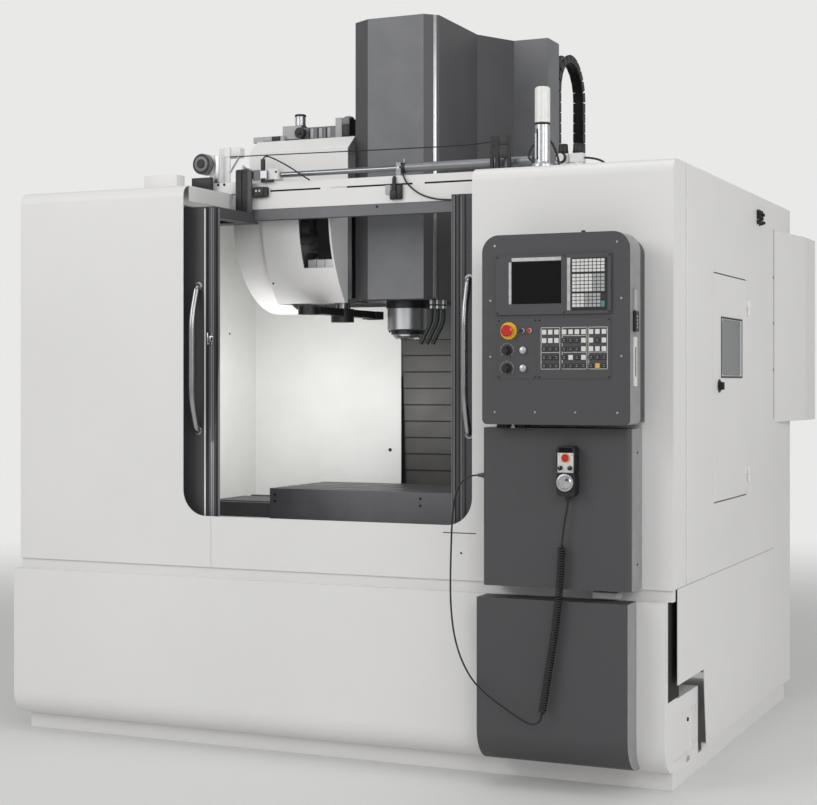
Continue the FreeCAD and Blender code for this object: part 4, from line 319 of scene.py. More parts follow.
# the route's points are the CAD source's, in metres
CORD_ROUTE = [(0.648, -1.09, 1.077), (0.622, -1.09, 1.075), (0.598, -1.091, 1.063), (0.577, -1.093, 1.04),
    (0.564, -1.096, 1.004), (0.557, -1.098, 0.955), (0.553, -1.1, 0.9), (0.552, -1.103, 0.84), (0.551, -1.105, 0.78),
    (0.551, -1.108, 0.72), (0.552, -1.111, 0.66), (0.556, -1.114, 0.602), (0.564, -1.119, 0.548),
    (0.577, -1.126, 0.497), (0.597, -1.136, 0.45), (0.624, -1.15, 0.408), (0.658, -1.166, 0.37), (0.7, -1.178, 0.337),
    (0.745, -1.182, 0.308), (0.788, -1.182, 0.283), (0.828, -1.18, 0.258), (0.858, -1.178, 0.242),
    (0.886, -1.176, 0.236), (0.908, -1.174, 0.248)]
CURL_ROUTE = [(0.914, -1.173, 0.274), (0.919, -1.172, 0.305), (0.927, -1.17, 0.355), (0.937, -1.168, 0.425),
    (0.95, -1.166, 0.505), (0.962, -1.165, 0.59), (0.972, -1.164, 0.68), (0.979, -1.163, 0.77), (0.982, -1.162, 0.85)]
TAIL_ROUTE = [(0.984, -1.161, 0.875), (0.989, -1.159, 0.915), (0.996, -1.158, 0.955), (1.001, -1.157, 0.98),
    (1.002, -1.157, 0.997)]
CURL_RADIUS = 0.0106      # from the curl's axis to the middle of the cord
CURL_PITCH = 0.0086       # the photograph shows the turns a little apart
TURN_POINTS = 12


def spline(name, points, radius=0.0, steps=6):
    """A curve object with one open NURBS spline through control points, round in section."""
    data = bpy.data.curves.new(name, "CURVE")
    data.dimensions = "3D"
    data.bevel_depth = radius
    data.bevel_resolution = 3
    data.use_fill_caps = True
    line = data.splines.new("NURBS")
    line.points.add(len(points) - 1)
    for knot, place in zip(line.points, points):
        knot.co = *place, 1.0
    line.order_u = 3
    line.use_endpoint_u = True
    line.resolution_u = steps
    line.use_smooth = True
    piece = bpy.data.objects.new(name, data)
    bpy.context.scene.collection.objects.link(piece)
    return piece


def centreline(route):
    """Points along a route's NURBS spline, a few millimetres apart."""
    guide = spline("guide", route, steps=24)
    mesh = bpy.data.meshes.new_from_object(guide)
    points = [v.co.copy() for v in mesh.vertices]
    bpy.data.objects.remove(guide)
    bpy.data.meshes.remove(mesh)
    return points


def reach(points):
    """Length along points."""
    return sum(((b - a).length for a, b in zip(points, points[1:])))


def helix():
    """Control points of the curly length's turns, which grow from the cord's own line and end in it."""
    line = centreline(CURL_ROUTE)
    total = reach(line)
    count = int(total / CURL_PITCH) * TURN_POINTS
    points, done, span = [], 0.0, 0
    for n in range(1, count):
        want = total * n / count
        while done + (line[span + 1] - line[span]).length < want:
            done += (line[span + 1] - line[span]).length
            span += 1
        step = line[span + 1] - line[span]
        along = step.normalized()
        middle = line[span] + along * (want - done)
        side = along.cross(Vector((0, 1, 0))).normalized()
        front = along.cross(side)
        grown = min(1.0, n / TURN_POINTS, (count - n) / TURN_POINTS)
        angle = math.tau * n / TURN_POINTS
        points.append(middle + (side * math.cos(angle) + front * math.sin(angle)) * CURL_RADIUS * grown)
    return points


def pendant_cord():
    """The cord from the dark cover's gland to the pendant's boot: plain, then curly, then plain."""
    route = [Vector(p) for p in CORD_ROUTE] + [Vector(CURL_ROUTE[0])] + helix()
    route += [Vector(CURL_ROUTE[-1])] + [Vector(p) for p in TAIL_ROUTE]
    length = reach(centreline(route))
    cord = spline("pendant_cord_line", route, CORD_D / 2, steps=4)
    cord.data.materials.append(RUBBER)
    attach(cord, "root")
    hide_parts("pendant_cord", "pendant_curl")


# ---- making pieces ----

def finish_piece(name, body, work, look, slot=None, smooth=35):
    """Turns a bmesh into a piece that rides on a body. Its look is a material, or a slot with its finish."""
    if look in SLOTS:
        look, slot = SLOTS[look], look
    bmesh.ops.remove_doubles(work, verts=work.verts, dist=1e-6)
    bmesh.ops.recalc_face_normals(work, faces=work.faces)
    mesh = bpy.data.meshes.new(name)
    work.to_mesh(mesh)
    work.free()
    mesh.shade_smooth()
    mesh.set_sharp_from_angle(angle=math.radians(smooth))
    mesh.materials.append(look)
    made = bpy.data.objects.new(name, mesh)
    bpy.context.scene.collection.objects.link(made)
    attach(made, body)
    return made


def tilted(work, place, size, edge=0.0, segments=1):
    """A box of three sizes, placed by a matrix, with its edges rounded by edge metres."""
    made = bmesh.ops.create_cube(work, size=1.0, matrix=place @ Matrix.Diagonal((*size, 1.0)))["verts"]
    if edge:
        edges = list({e for v in made for e in v.link_edges})
        bmesh.ops.bevel(work, geom=edges, offset=edge, affect="EDGES", segments=segments, profile=0.5, material=-1)


def block(work, x, y, z, edge=0.0, segments=2):
    """A box between pairs of x, y and z, with its edges rounded by edge metres."""
    size = [hi - lo for lo, hi in (x, y, z)]
    middle = [(hi + lo) / 2 for lo, hi in (x, y, z)]
    tilted(work, Matrix.Translation(middle), size, edge, segments)


TURNS = {"x": Matrix.Rotation(math.pi / 2, 4, "Y"), "y": Matrix.Rotation(-math.pi / 2, 4, "X"),
         "z": Matrix.Identity(4)}


def turned(work, at, axis, profile, segments=32, hollow=False):
    """A turned piece from (distance along the axis, radius) pairs, closed at the axis or, hollow, on itself."""
    turn = Matrix.Translation(at) @ TURNS[axis]
    line = [(r, d) for d, r in profile]
    if not hollow:
        line = [(0.0, profile[0][0])] + line + [(0.0, profile[-1][0])]
    verts = [work.verts.new((r, 0.0, d)) for r, d in line]
    edges = [work.edges.new(pair) for pair in zip(verts, verts[1:] + verts[:1] * hollow)]
    spun = bmesh.ops.spin(work, geom=verts + edges, cent=(0, 0, 0), axis=(0, 0, 1), angle=math.tau, steps=segments,
        use_merge=True, use_duplicate=False)
    island = {v for v in spun["geom_last"] if isinstance(v, bmesh.types.BMVert)}
    found, queue = set(verts) | island, list(set(verts) | island)
    while queue:
        for edge in queue.pop().link_edges:
            for vert in edge.verts:
                if vert not in found:
                    found.add(vert)
                    queue.append(vert)
    bmesh.ops.transform(work, matrix=turn, verts=list(found))


SCREW_SIDES = 18


def screw(work, at, axis, radius=0.004, height=0.0018):
    """A domed screw head with a hexagon socket, standing along an axis, negative where it faces back."""
    sign = -1 if axis.startswith("-") else 1
    axis = axis.lstrip("-")
    turn = Matrix.Translation(at) @ TURNS[axis] @ Matrix.Diagonal((1, 1, sign, 1))
    middle = turn @ Matrix.Translation((0, 0, height / 2))
    made = bmesh.ops.create_cone(work, cap_ends=True, cap_tris=False, segments=SCREW_SIDES, radius1=radius,
        radius2=radius * 0.8, depth=height, matrix=middle)["verts"]
    top = [f for v in made for f in v.link_faces if len(f.verts) == SCREW_SIDES]
    outer = max(set(top), key=lambda f: sign * f.calc_center_median()[{"x": 0, "y": 1, "z": 2}[axis]])
    bmesh.ops.inset_individual(work, faces=[outer], thickness=radius * 0.38, depth=0.0)
    bmesh.ops.inset_individual(work, faces=[outer], thickness=0.0, depth=-height * 0.6)


def build(name, look, *steps, body="root", slot=None):
    """One piece from steps, each a maker such as block, turned or screw and what it takes after the bmesh."""
    work = bmesh.new()
    for maker, *details in steps:
        maker(work, *details)
    return finish_piece(name, body, work, look, slot)


def plate(name, look, boxes, edge=0.0, body="root"):
    """One piece made of boxes, each given as x, y and z pairs."""
    return build(name, look, *[(block, x, y, z, edge, 1) for x, y, z in boxes], body=body)


def recolour(node, material, test):
    """Gives the faces of a CAD node that pass a test a second finish."""
    mesh = frame["nodes"][node].data
    mesh.materials.append(material)
    for face in mesh.polygons:
        if test(face.center, face.normal):
            face.material_index = len(mesh.materials) - 1


# ---- operator console ----

DISPLAY_Y = CONSOLE_Y - 0.008
PLATE_Y = CONSOLE_Y - 0.002
STOP_AT = (0.809, 1.577)
DIALS_AT = ((0.803, 1.511), (0.803, 1.45))
SILVER_AT = ((0.862, 1.511), (0.862, 1.45))
CONSOLE_RIGHT = 1.236     # its right side, where the modules stand
DIAL_TICKS = 17
TICK_RADIUS = 0.0235


def display():
    """Screen, silver trims and keypad of the display unit."""
    plate("screen", SCREEN, [((0.8225, 0.9985), (-1.2166, -1.2145), (1.6675, 1.8095))])
    trims = [((0.822, 0.998), (1.8115, 1.8235)), ((0.8115, 0.8205), (1.667, 1.809)),
        ((1.0195, 1.0305), (1.643, 1.819))]
    plate("display_trims", "silver", [(x, (DISPLAY_Y - 0.0016, DISPLAY_Y + 0.001), z) for x, z in trims], 0.0006)
    plate("keypad_base", "black_plastic",
        [((1.0365, 1.1595), (DISPLAY_Y - 0.001, DISPLAY_Y + 0.003), (1.6425, 1.8175))], 0.0005)
    white, grey = [], []
    # top edge, rows, pitch, columns, and how many columns are white
    groups = (1.8135, 4, 0.0112, 8, 8), (1.7635, 5, 0.0121, 8, 5), (1.6985, 4, 0.0118, 7, 3)
    for top, rows, pitch, columns, pale in groups:
        for row in range(rows):
            for column in range(columns):
                x, z = 1.0385 + column * 0.0143, top - row * pitch
                key = (x, x + 0.012), (DISPLAY_Y - 0.0028, DISPLAY_Y), (z - pitch + 0.0022, z)
                (white if column < pale else grey).append(key)
    plate("keypad_keys_white", KEY_WHITE, white, 0.0008)
    plate("keypad_keys_grey", KEY_GREY, grey, 0.0008)
    for name, look, z in (("teal", KEY_TEAL, (1.6535, 1.6735)), ("dark", KEY_DARK, (1.6765, 1.6955))):
        plate(f"keypad_key_{name}", look, [((1.1386, 1.1512), (DISPLAY_Y - 0.003, DISPLAY_Y), z)], 0.0008)


KEY_COLUMNS = (0.937, 0.959, 0.981, 1.008, 1.031, 1.053, 1.076, 1.102, 1.1245, 1.147)
KEY_ROWS = (1.571, 1.5425, 1.514, 1.4855, 1.4575)
WHITE_KEYS = ("1111111111", "1110001101", "0000001111", "0000101000", "0000000000")
YELLOW_KEY = (8, 4)


def operation_keys():
    """White, dark and yellow keys of the operation panel, in their outlined blocks."""
    white, dark, yellow = [], [], []
    for r, z in enumerate(KEY_ROWS):
        for c, x in enumerate(KEY_COLUMNS):
            key = (x - 0.0078, x + 0.0078), (PLATE_Y - 0.0042, PLATE_Y), (z - 0.0082, z + 0.0082)
            kind = yellow if (c, r) == YELLOW_KEY else white if WHITE_KEYS[r][c] == "1" else dark
            kind.append(key)
    plate("operation_keys_white", KEY_WHITE, white, 0.0012)
    plate("operation_keys_dark", KEY_DARK, dark, 0.0012)
    plate("operation_key_yellow", YELLOW, yellow, 0.0012)
    marks = [((x - 0.0035, x + 0.0035), (PLATE_Y - 0.0046, PLATE_Y - 0.004), (z + o - 0.0006, z + o + 0.0006))
        for r, z in enumerate(KEY_ROWS) for c, x in enumerate(KEY_COLUMNS) if WHITE_KEYS[r][c] == "0"
        for o in (-0.003, 0.003)]
    plate("operation_key_marks", KEY_GREY, marks)
    lines = []
    low, high, wide = 1.446, 1.587, 0.0016
    y = PLATE_Y - 0.0008, PLATE_Y + 0.0005
    for x0, x1, splits in ((0.925, 0.993, (1.502,)), (1.0, 1.088, (1.558, 1.502)), (1.093, 1.159, (1.502,))):
        lines += [((x, x + wide), y, (low, high)) for x in (x0, x1 - wide)]
        lines += [((x0, x1), y, (z, z + wide)) for z in (low, *splits, high - wide)]
    plate("operation_block_lines", KEY_WHITE, lines)


def console_knobs():
    """Yellow ring of the emergency stop, tick marks round the dials, caps of the small buttons."""
    x, z = STOP_AT
    build("emergency_stop_ring", YELLOW,
        (turned, (x, PLATE_Y - 0.0036, z), "y", [(0, 0.027), (0.0006, 0.0292), (0.0036, 0.0295)], 48))
    work = bmesh.new()
    for dial_x, dial_z in DIALS_AT:
        for n in range(DIAL_TICKS):
            angle = math.radians(-40 + n * 260 / (DIAL_TICKS - 1))
            turn = Matrix.Translation((dial_x, PLATE_Y - 0.0002, dial_z)) @ Matrix.Rotation(-angle, 4, "Y")
            long = 0.0045 if n % 4 == 0 else 0.003
            tilted(work, turn @ Matrix.Translation((TICK_RADIUS, 0, 0)), (long, 0.0006, 0.001))
    finish_piece("dial_ticks", "root", work, KEY_WHITE)
    for number, (dial_x, dial_z) in enumerate(DIALS_AT, 1):
        build(f"dial_{number}_cap", "black_plastic",
            (turned, (dial_x, PLATE_Y - 0.0195, dial_z), "y",
                [(0, 0.0085), (0.0008, 0.0095), (0.012, 0.0102), (0.0125, 0.0155), (0.019, 0.0162)], 40),
            (block, (dial_x - 0.0006, dial_x + 0.0006), (PLATE_Y - 0.0204, PLATE_Y - 0.019), (dial_z, dial_z + 0.008)),
            body=f"selector_{number}")
        silver_x, silver_z = SILVER_AT[number - 1]
        build(f"push_button_{number}_cap", "silver",
            (turned, (silver_x, PLATE_Y - 0.0118, silver_z), "y",
                [(0, 0.0085), (0.001, 0.01), (0.0065, 0.0108), (0.0066, 0.0122), (0.0085, 0.0126)], 40),
            body=f"push_button_{number}")
    for name, x, material in (("start_button", 0.858, BLACK), ("reset_button", 0.884, RED)):
        build(name, material,
            (turned, (x, PLATE_Y - 0.0125, STOP_AT[1]), "y", [(0, 0.0062), (0.001, 0.0072), (0.004, 0.0074)], 28))
        build(name + "_collar", KEY_WHITE,
            (turned, (x, PLATE_Y - 0.0085, STOP_AT[1]), "y", [(0, 0.0078), (0.0085, 0.0084)], 28))


CONSOLE_SCREWS = ((0.758, 1.867), (1.191, 1.868), (0.742, 1.681), (1.206, 1.681), (0.742, 1.489), (1.206, 1.489),
    (0.758, 1.301), (0.903, 1.301), (1.046, 1.301), (1.192, 1.301))
DISPLAY_SCREWS = ((0.7695, 1.826), (1.01, 1.826), (1.1665, 1.826), (0.7695, 1.637), (1.01, 1.637), (1.1665, 1.637))
PANEL_SCREWS = ((0.773, 1.611), (0.904, 1.611), (0.919, 1.611), (1.163, 1.611), (0.773, 1.42), (0.904, 1.42),
    (0.919, 1.42), (1.163, 1.42))


def cover_side():
    """The middle dark cover's return in a light grey that is painted light, its screws, the hinge pin above it, slots
    and seals near it, and a black sheet of painted shadow in the gap by the skirt.
    """
    # the return's lighter grey is painted light, where the side catches the lamps
    recolour("dark_covers", PAINTED_SIDE_LIGHT, lambda at, n: n.x > 0.9 and at.x > 1.1)
    build("cover_side_screws", "black_metal",
        *[(screw, (1.218, MID_Y + 0.07, z), "x", 0.0045, 0.002) for z in (1.164, 0.786)])
    build("console_pivot", STAINLESS,
        (turned, (0.8035, -1.15, 1.245), "z",
            [(0, 0.011), (0.001, 0.0125), (0.006, 0.0125), (0.0065, 0.009), (0.017, 0.009)], 28))
    plate("console_gap_seal", GASKET,
        [((0.747, 0.786), (-1.165, -1.14), (1.245, 1.262)), ((0.821, 0.85), (-1.165, -1.14), (1.245, 1.262))], 0.001)
    plate("cover_stop", WHITE, [((1.056, 1.145), (-1.06, -1.001), (0.662, 0.684))], 0.002)
    plate("sill_slot", GASKET, [((0.481, 0.608), (-1.0096, -1.008), (0.862, 0.865))])
    build("sill_screw", BLACKENED, (screw, (0.551, -1.009, 0.792), "-y", 0.004, 0.0015))
    # a black sheet of painted shadow in the gap between the skirt and the side panel
    plate("skirt_gap_painted_shadow", GASKET, [((1.3055, 1.3068), (-1.0, -0.86), (0.312, 0.69))])


def console_trim():
    """Screws, the light band of painted light along the housing's side edge, and the modules on its right side."""
    build("console_screws", "silver", *[(screw, (x, CONSOLE_Y, z), "-y", 0.0042, 0.0022) for x, z in CONSOLE_SCREWS])
    build("console_panel_screws", "black_plastic",
        *[(screw, (x, DISPLAY_Y, z), "-y", 0.0032, 0.0018) for x, z in DISPLAY_SCREWS],
        *[(screw, (x, PLATE_Y, z), "-y", 0.0032, 0.0018) for x, z in PANEL_SCREWS])
    # the housing's side edge takes the lighter grey: painted light where the side catches the lamps
    recolour("console_box", PAINTED_SIDE_LIGHT, lambda at, n: at.y < -1.093 and n.x > 0.35 and at.x > 1.1)
    x = CONSOLE_RIGHT
    plate("console_tab", KEY_GREY, [((x, x + 0.0065), (-1.176, -1.147), (1.641, 1.711))], 0.001)
    plate("console_port", "black_plastic", [((x, x + 0.011), (-1.181, -1.143), (1.571, 1.639))], 0.0015)
    plate("console_port_pins", KEY_WHITE,
        [((x + 0.0105, x + 0.0115), (-1.167, -1.161), (z, z + 0.006)) for z in (1.582, 1.594, 1.606, 1.618)])
    plate("console_card_slot", KEY_WHITE,
        [((x, x + 0.0058), y, z)
            for y, z in (((-1.181, -1.17), (1.389, 1.553)), ((-1.157, -1.147), (1.389, 1.553)),
                ((-1.17, -1.157), (1.389, 1.421)), ((-1.17, -1.157), (1.519, 1.553)))], 0.0006)
    build("console_top_nub", "black_plastic",
        (turned, (1.055, -1.15, 1.903), "z", [(0, 0.011), (0.004, 0.011), (0.005, 0.008), (0.012, 0.007)], 24))


# ---- beam over the doors, its cylinder and sensors, left roof, door edges ----

BEAM_Y = -0.63
CYLINDER_Y = -0.608
CYLINDER_Z = 2.237


def wire(name, points, radius, material, body="root"):
    """A thin cable or wire along a smooth route, turned to mesh with its ends capped."""
    guide = spline(name + "_line", points, radius, steps=8)
    work = bmesh.new()
    mesh = bpy.data.meshes.new_from_object(guide)
    work.from_mesh(mesh)
    bpy.data.objects.remove(guide)
    bpy.data.meshes.remove(mesh)
    return finish_piece(name, body, work, material, smooth=60)


def beam_details():
    """Sensors, cable runs, the doors' synchronising wire, and the cylinder's dark and bright parts."""
    recolour("door_beam", HEAD_GREY, lambda at, n: at.z < 2.0995)
    recolour("door_cylinder", BARREL, lambda at, n: True)
    plate("beam_slots", GASKET,
        [((x0, x1), (BEAM_Y + 0.004, BEAM_Y + 0.007), (2.166, 2.177))
            for x0, x1 in ((-0.435, -0.165), (-0.092, 0.195), (0.24, 0.522))])
    plate("door_sensor_left", "black_plastic",
        [((-0.502, -0.452), (-0.652, BEAM_Y), (2.146, 2.188)), ((-0.452, -0.439), (-0.649, BEAM_Y), (2.148, 2.187)),
            ((-0.5, -0.455), (-0.6535, -0.652), (2.15, 2.158))], 0.0012)
    build("door_sensor_middle", "black_plastic",
        (turned, (0.118, -0.637, 2.145), "z", [(0, 0.01), (0.03, 0.0085), (0.05, 0.0075), (0.058, 0.0045)], 20),
        (block, (0.103, 0.131), (-0.647, BEAM_Y), (2.112, 2.146), 0.0015),
        (block, (0.131, 0.152), (-0.644, BEAM_Y), (2.112, 2.168), 0.0015))
    plate("sensor_block", KEY_GREY, [((0.081, 0.103), (-0.64, BEAM_Y), (2.134, 2.17))], 0.0015)
    plate("sensor_lights", KEY_WHITE, [((x, x + 0.007), (-0.6535, -0.652), (2.168, 2.176)) for x in (-0.489, -0.474)],
        0.0004)
    # whatever rides with the rod stays behind the right door's posts, which pass in front of it
    plate("rod_end_block", WHITE, [((-0.4505, -0.397), (-0.6335, -0.586), (2.2165, 2.2605))], 0.002, body="left_door")
    build("rod_end_bracket", BLACK, (screw, (-0.405, -0.6335, 2.247), "-y", 0.005, 0.0012),
        (block, (-0.468, -0.452), (-0.6475, -0.6345), (2.205, 2.3), 0.002),
        (block, (-0.468, -0.412), (-0.647, -0.6345), (2.205, 2.216), 0.0015), body="left_door", slot="black_metal")
    plate("hanger_arm_cover", HEAD_GREY, [((-0.501, -0.469), (-0.65, -0.6475), (2.213, 2.256))], 0.001,
        body="left_door")
    build("barrel_foot_ring", WHITE,
        (turned, (0.124, CYLINDER_Y, CYLINDER_Z), "x", [(0, 0.0195), (0.001, 0.0205), (0.009, 0.0205), (0.01, 0.0195)],
            32))
    build("cylinder_end_caps", "black_plastic",
        (turned, (0.1345, CYLINDER_Y, CYLINDER_Z), "x", [(0, 0.019), (0.002, 0.0205), (0.02, 0.0205), (0.022, 0.019)],
            32),
        (turned, (0.68, CYLINDER_Y, CYLINDER_Z), "x", [(0, 0.019), (0.002, 0.02), (0.01, 0.02)], 32))
    cable = [(-0.462, -0.641, 2.298), (-0.452, -0.641, 2.312), (-0.43, -0.641, 2.308), (-0.385, -0.641, 2.287),
        (-0.332, -0.641, 2.258), (-0.287, -0.641, 2.228), (-0.25, -0.641, 2.206)]
    wire("sensor_cable_left", cable, 0.003, RUBBER, body="left_door")
    cable = [(0.15, -0.634, 2.222), (0.156, -0.64, 2.205), (0.172, -0.642, 2.175), (0.198, -0.641, 2.148),
        (0.235, -0.639, 2.124), (0.285, -0.637, 2.108), (0.33, -0.636, 2.102), (0.372, -0.633, 2.101)]
    wire("sensor_cable_middle", cable, 0.0032, RUBBER)
    wire("synchronising_wire",
        [(-0.655, -0.604, 2.323), (-0.3, -0.604, 2.3185), (0.1, -0.604, 2.313), (0.464, -0.604, 2.309),
            (0.546, -0.604, 2.322)], 0.0022, BLACKENED)
    build("beam_screw", BLACKENED, (screw, (0.04, -0.63, 2.089), "-y", 0.0045, 0.003))
    build("right_hanger_trim", BLACK,
        *[(block, (x, x + 0.014), (-0.6625, -0.649), (2.084, 2.331), 0.0012, 1) for x in (0.546, 0.594)],
        *[(block, (0.549, 0.605), (-0.6595, -0.65), (z, z + 0.012), 0.001, 1) for z in (2.296, 2.246, 2.196)],
        body="right_door", slot="black_metal")
    build("left_hanger_trim", BLACK, (block, (-0.569, -0.547), (-0.664, -0.648), (2.084, 2.26), 0.0012, 1),
        (block, (-0.541, -0.521), (-0.664, -0.648), (2.084, 2.26), 0.0012, 1),
        *[(screw, (x, -0.664, z), "-y", 0.0036, 0.002)
            for x, z in ((-0.558, 2.168), (-0.531, 2.168), (-0.558, 2.25), (-0.531, 2.25))], body="left_door",
        slot="black_metal")
    plate("left_hanger_side", DARK_GREY_AND_SHADE, [((-0.521, -0.503), (-0.6625, -0.65), (2.084, 2.256))], 0.001,
        body="left_door")


def hanger_finish():
    """The doors' hanger posts are black."""
    for door in ("left_door", "right_door"):
        recolour(door, BLACK, lambda at, n: at.z > 2.084 and at.y < -0.64)


PULLEY_X, PULLEY_Z = -0.736, 2.293


def left_roof_items():
    """Wire pulley, its housing and bracket on the left roof, with a low block in front of them."""
    build("wire_housing", WHITE, (block, (-0.715, -0.662), (-0.632, -0.585), (2.216, 2.33), 0.003),
        (block, (-0.662, -0.634), (-0.606, -0.598), (2.166, 2.362), 0.0015),
        (block, (-0.69, -0.59), (-0.598, -0.56), (2.32, 2.36), 0.003),
        (block, (-0.901, -0.746), (-0.83, -0.77), (2.166, 2.232), 0.003),
        (block, (-0.725, -0.56), (-0.64, -0.6), (2.166, 2.214), 0.003))
    build("wire_pulley", HEAD_GREY,
        (turned, (PULLEY_X, -0.66, PULLEY_Z), "y", [(0, 0.04), (0.003, 0.0425), (0.05, 0.0425), (0.052, 0.04)], 40))
    build("wire_pulley_face", "black_plastic",
        (turned, (PULLEY_X, -0.663, PULLEY_Z), "y", [(0, 0.0375), (0.002, 0.039), (0.006, 0.039)], 40),
        (turned, (PULLEY_X, -0.669, PULLEY_Z), "y", [(0, 0.017), (0.004, 0.019), (0.008, 0.019)], 28),
        *[(screw, (x, -0.64, 2.206), "-y", 0.006, 0.003) for x in (-0.668, -0.64)],
        (block, (-0.775, -0.682), (-0.672, -0.655), (2.166, 2.235), 0.002))
    build("wire_pulley_ring", EDGE_GREY,
        (turned, (PULLEY_X, -0.6645, PULLEY_Z), "y", [(0, 0.024), (0.001, 0.03), (0.002, 0.03)], 40))
    strut = Matrix.Translation((-0.615, -0.6, 2.29)) @ Matrix.Rotation(math.radians(35), 4, "Y")
    build("wire_bracket", "silver", (tilted, strut, (0.004, 0.016, 0.078), 0.001),
        (block, (-0.69, -0.668), (-0.636, -0.632), (2.216, 2.326), 0.001))


PANE_Z, PANE_HALF_HEIGHT = 1.4745, 0.4283
PANE_CORNER = 0.0295
FRAME_WIDTH, FRAME_DEPTH = 0.021, 0.018


def door_edges():
    """Strips, seals and the striker on the doors' leading edges, and the frames round their panes."""
    face = FRONT_Y + 0.062
    outer = face - 0.0056, face - 0.005
    seal_z, strip_z = (0.87, 2.079), (0.872, 2.077)
    for door, sign, middle in (("left_door", 1, -0.5035), ("right_door", -1, 0.4895)):
        def across(a, b):
            return tuple(sorted((middle + sign * a, middle + sign * b)))
        # on the left door the strip is white, a painted highlight on the edge profile; on the right door it is grey
        plate(f"{door}_strip", WHITE if sign > 0 else HEAD_GREY,
            [(across(-0.0424, -0.037), (face - 0.0064, face - 0.005), (0.874, 2.075))], 0.0004, body=door)
        plate(f"{door}_seal", GASKET,
            [(across(-0.0334, -0.0302), outer, seal_z), (across(-0.03, -0.027), (face - 0.0006, face), seal_z),
                (across(-0.0008, 0.0006), (face + 0.013, face + 0.024), seal_z)], body=door)
        plate(f"{door}_edge_strip", EDGE_GREY,
            [(across(-0.0132, -0.009), outer, strip_z), (across(-0.0032, -0.0006), outer, strip_z),
                (across(-0.0004, 0.0007), (face + 0.024, face + 0.04), strip_z)], body=door)
    for door, x0, x1 in (("left_door", -1.053, -0.624), ("right_door", 0.61, 1.039)):
        work = bmesh.new()
        place = Matrix.Translation(((x0 + x1) / 2, face + 0.0015, PANE_Z)) @ Matrix.Rotation(math.pi / 2, 4, "X")
        bmesh.ops.create_grid(work, x_segments=1, y_segments=1, size=1.0,
            matrix=place @ Matrix.Diagonal(((x1 - x0) / 2, PANE_HALF_HEIGHT, 1.0, 1.0)))
        bmesh.ops.bevel(work, geom=work.verts[:], offset=PANE_CORNER, affect="VERTICES", segments=6, profile=0.5,
            material=-1)
        pane = work.faces[:]
        bmesh.ops.inset_region(work, faces=pane, thickness=FRAME_WIDTH, use_boundary=True, use_even_offset=True)
        bmesh.ops.delete(work, geom=pane, context="FACES")
        out = bmesh.ops.extrude_face_region(work, geom=work.faces[:])["geom"]
        inner = [v for v in out if isinstance(v, bmesh.types.BMVert)]
        bmesh.ops.translate(work, verts=inner, vec=(0, FRAME_DEPTH, 0))
        finish_piece(f"{door}_pane_frame", door, work, GRAPHITE)
    build("striker", STAINLESS, (block, (-0.5345, -0.5265), (face - 0.01, face), (1.548, 1.594), 0.001),
        (block, (-0.5265, -0.5045), (face - 0.009, face - 0.003), (1.558, 1.582), 0.0015),
        *[(screw, (x, face - 0.005, z), "-y", 0.0042, 0.004)
            for x, z in ((-0.5085, 1.588), (-0.5085, 1.552), (-0.523, 1.552))], body="left_door")
    plate("striker_hole", GASKET, [((-0.5145, -0.508), (face - 0.0098, face - 0.009), (1.562, 1.578))],
        body="left_door")


# ---- signal tower and air unit on the roof ----

TOWER_AT = (0.832, -0.934)


def signal_tower():
    """Lamp with its cap, black ring, slotted aluminium tube, flange screws and cable."""
    x, y = TOWER_AT
    build("signal_lamp", LAMP,
        (turned, (x, y, 2.3225), "z",
            [(0, 0.0262), (0.001, 0.0274), (0.117, 0.0274), (0.123, 0.0262), (0.1265, 0.0225), (0.1272, 0.02)], 48))
    build("signal_ring", "black_plastic",
        (turned, (x, y, 2.314), "z", [(0, 0.0276), (0.0005, 0.0279), (0.008, 0.0279), (0.0085, 0.0276)], 48))
    work = bmesh.new()
    turned(work, (x, y, 2.166), "z",
        [(0.0, 0.0385), (0.006, 0.0385), (0.009, 0.0375), (0.0095, 0.03), (0.016, 0.0278), (0.018, 0.0274)], 48)
    for n in range(4):
        angle = math.radians(45 + 90 * n)
        screw(work, (x + 0.0328 * math.cos(angle), y + 0.0328 * math.sin(angle), 2.1755), "z", 0.0028, 0.002)
    finish_piece("signal_flange", "root", work, "silver")
    plate("signal_slot", BLACK, [((x - 0.0135, x - 0.0065), (y - 0.028, y - 0.02), (2.19, 2.3))], 0.002)
    wire("signal_cable",
        [(x - 0.024, y + 0.01, 2.182), (x - 0.045, y + 0.03, 2.19), (x - 0.08, y + 0.06, 2.215),
            (x - 0.06, y + 0.09, 2.27), (x - 0.02, y + 0.11, 2.29), (x + 0.01, y + 0.13, 2.24),
            (x + 0.02, y + 0.14, 2.166)], 0.0045, RUBBER)


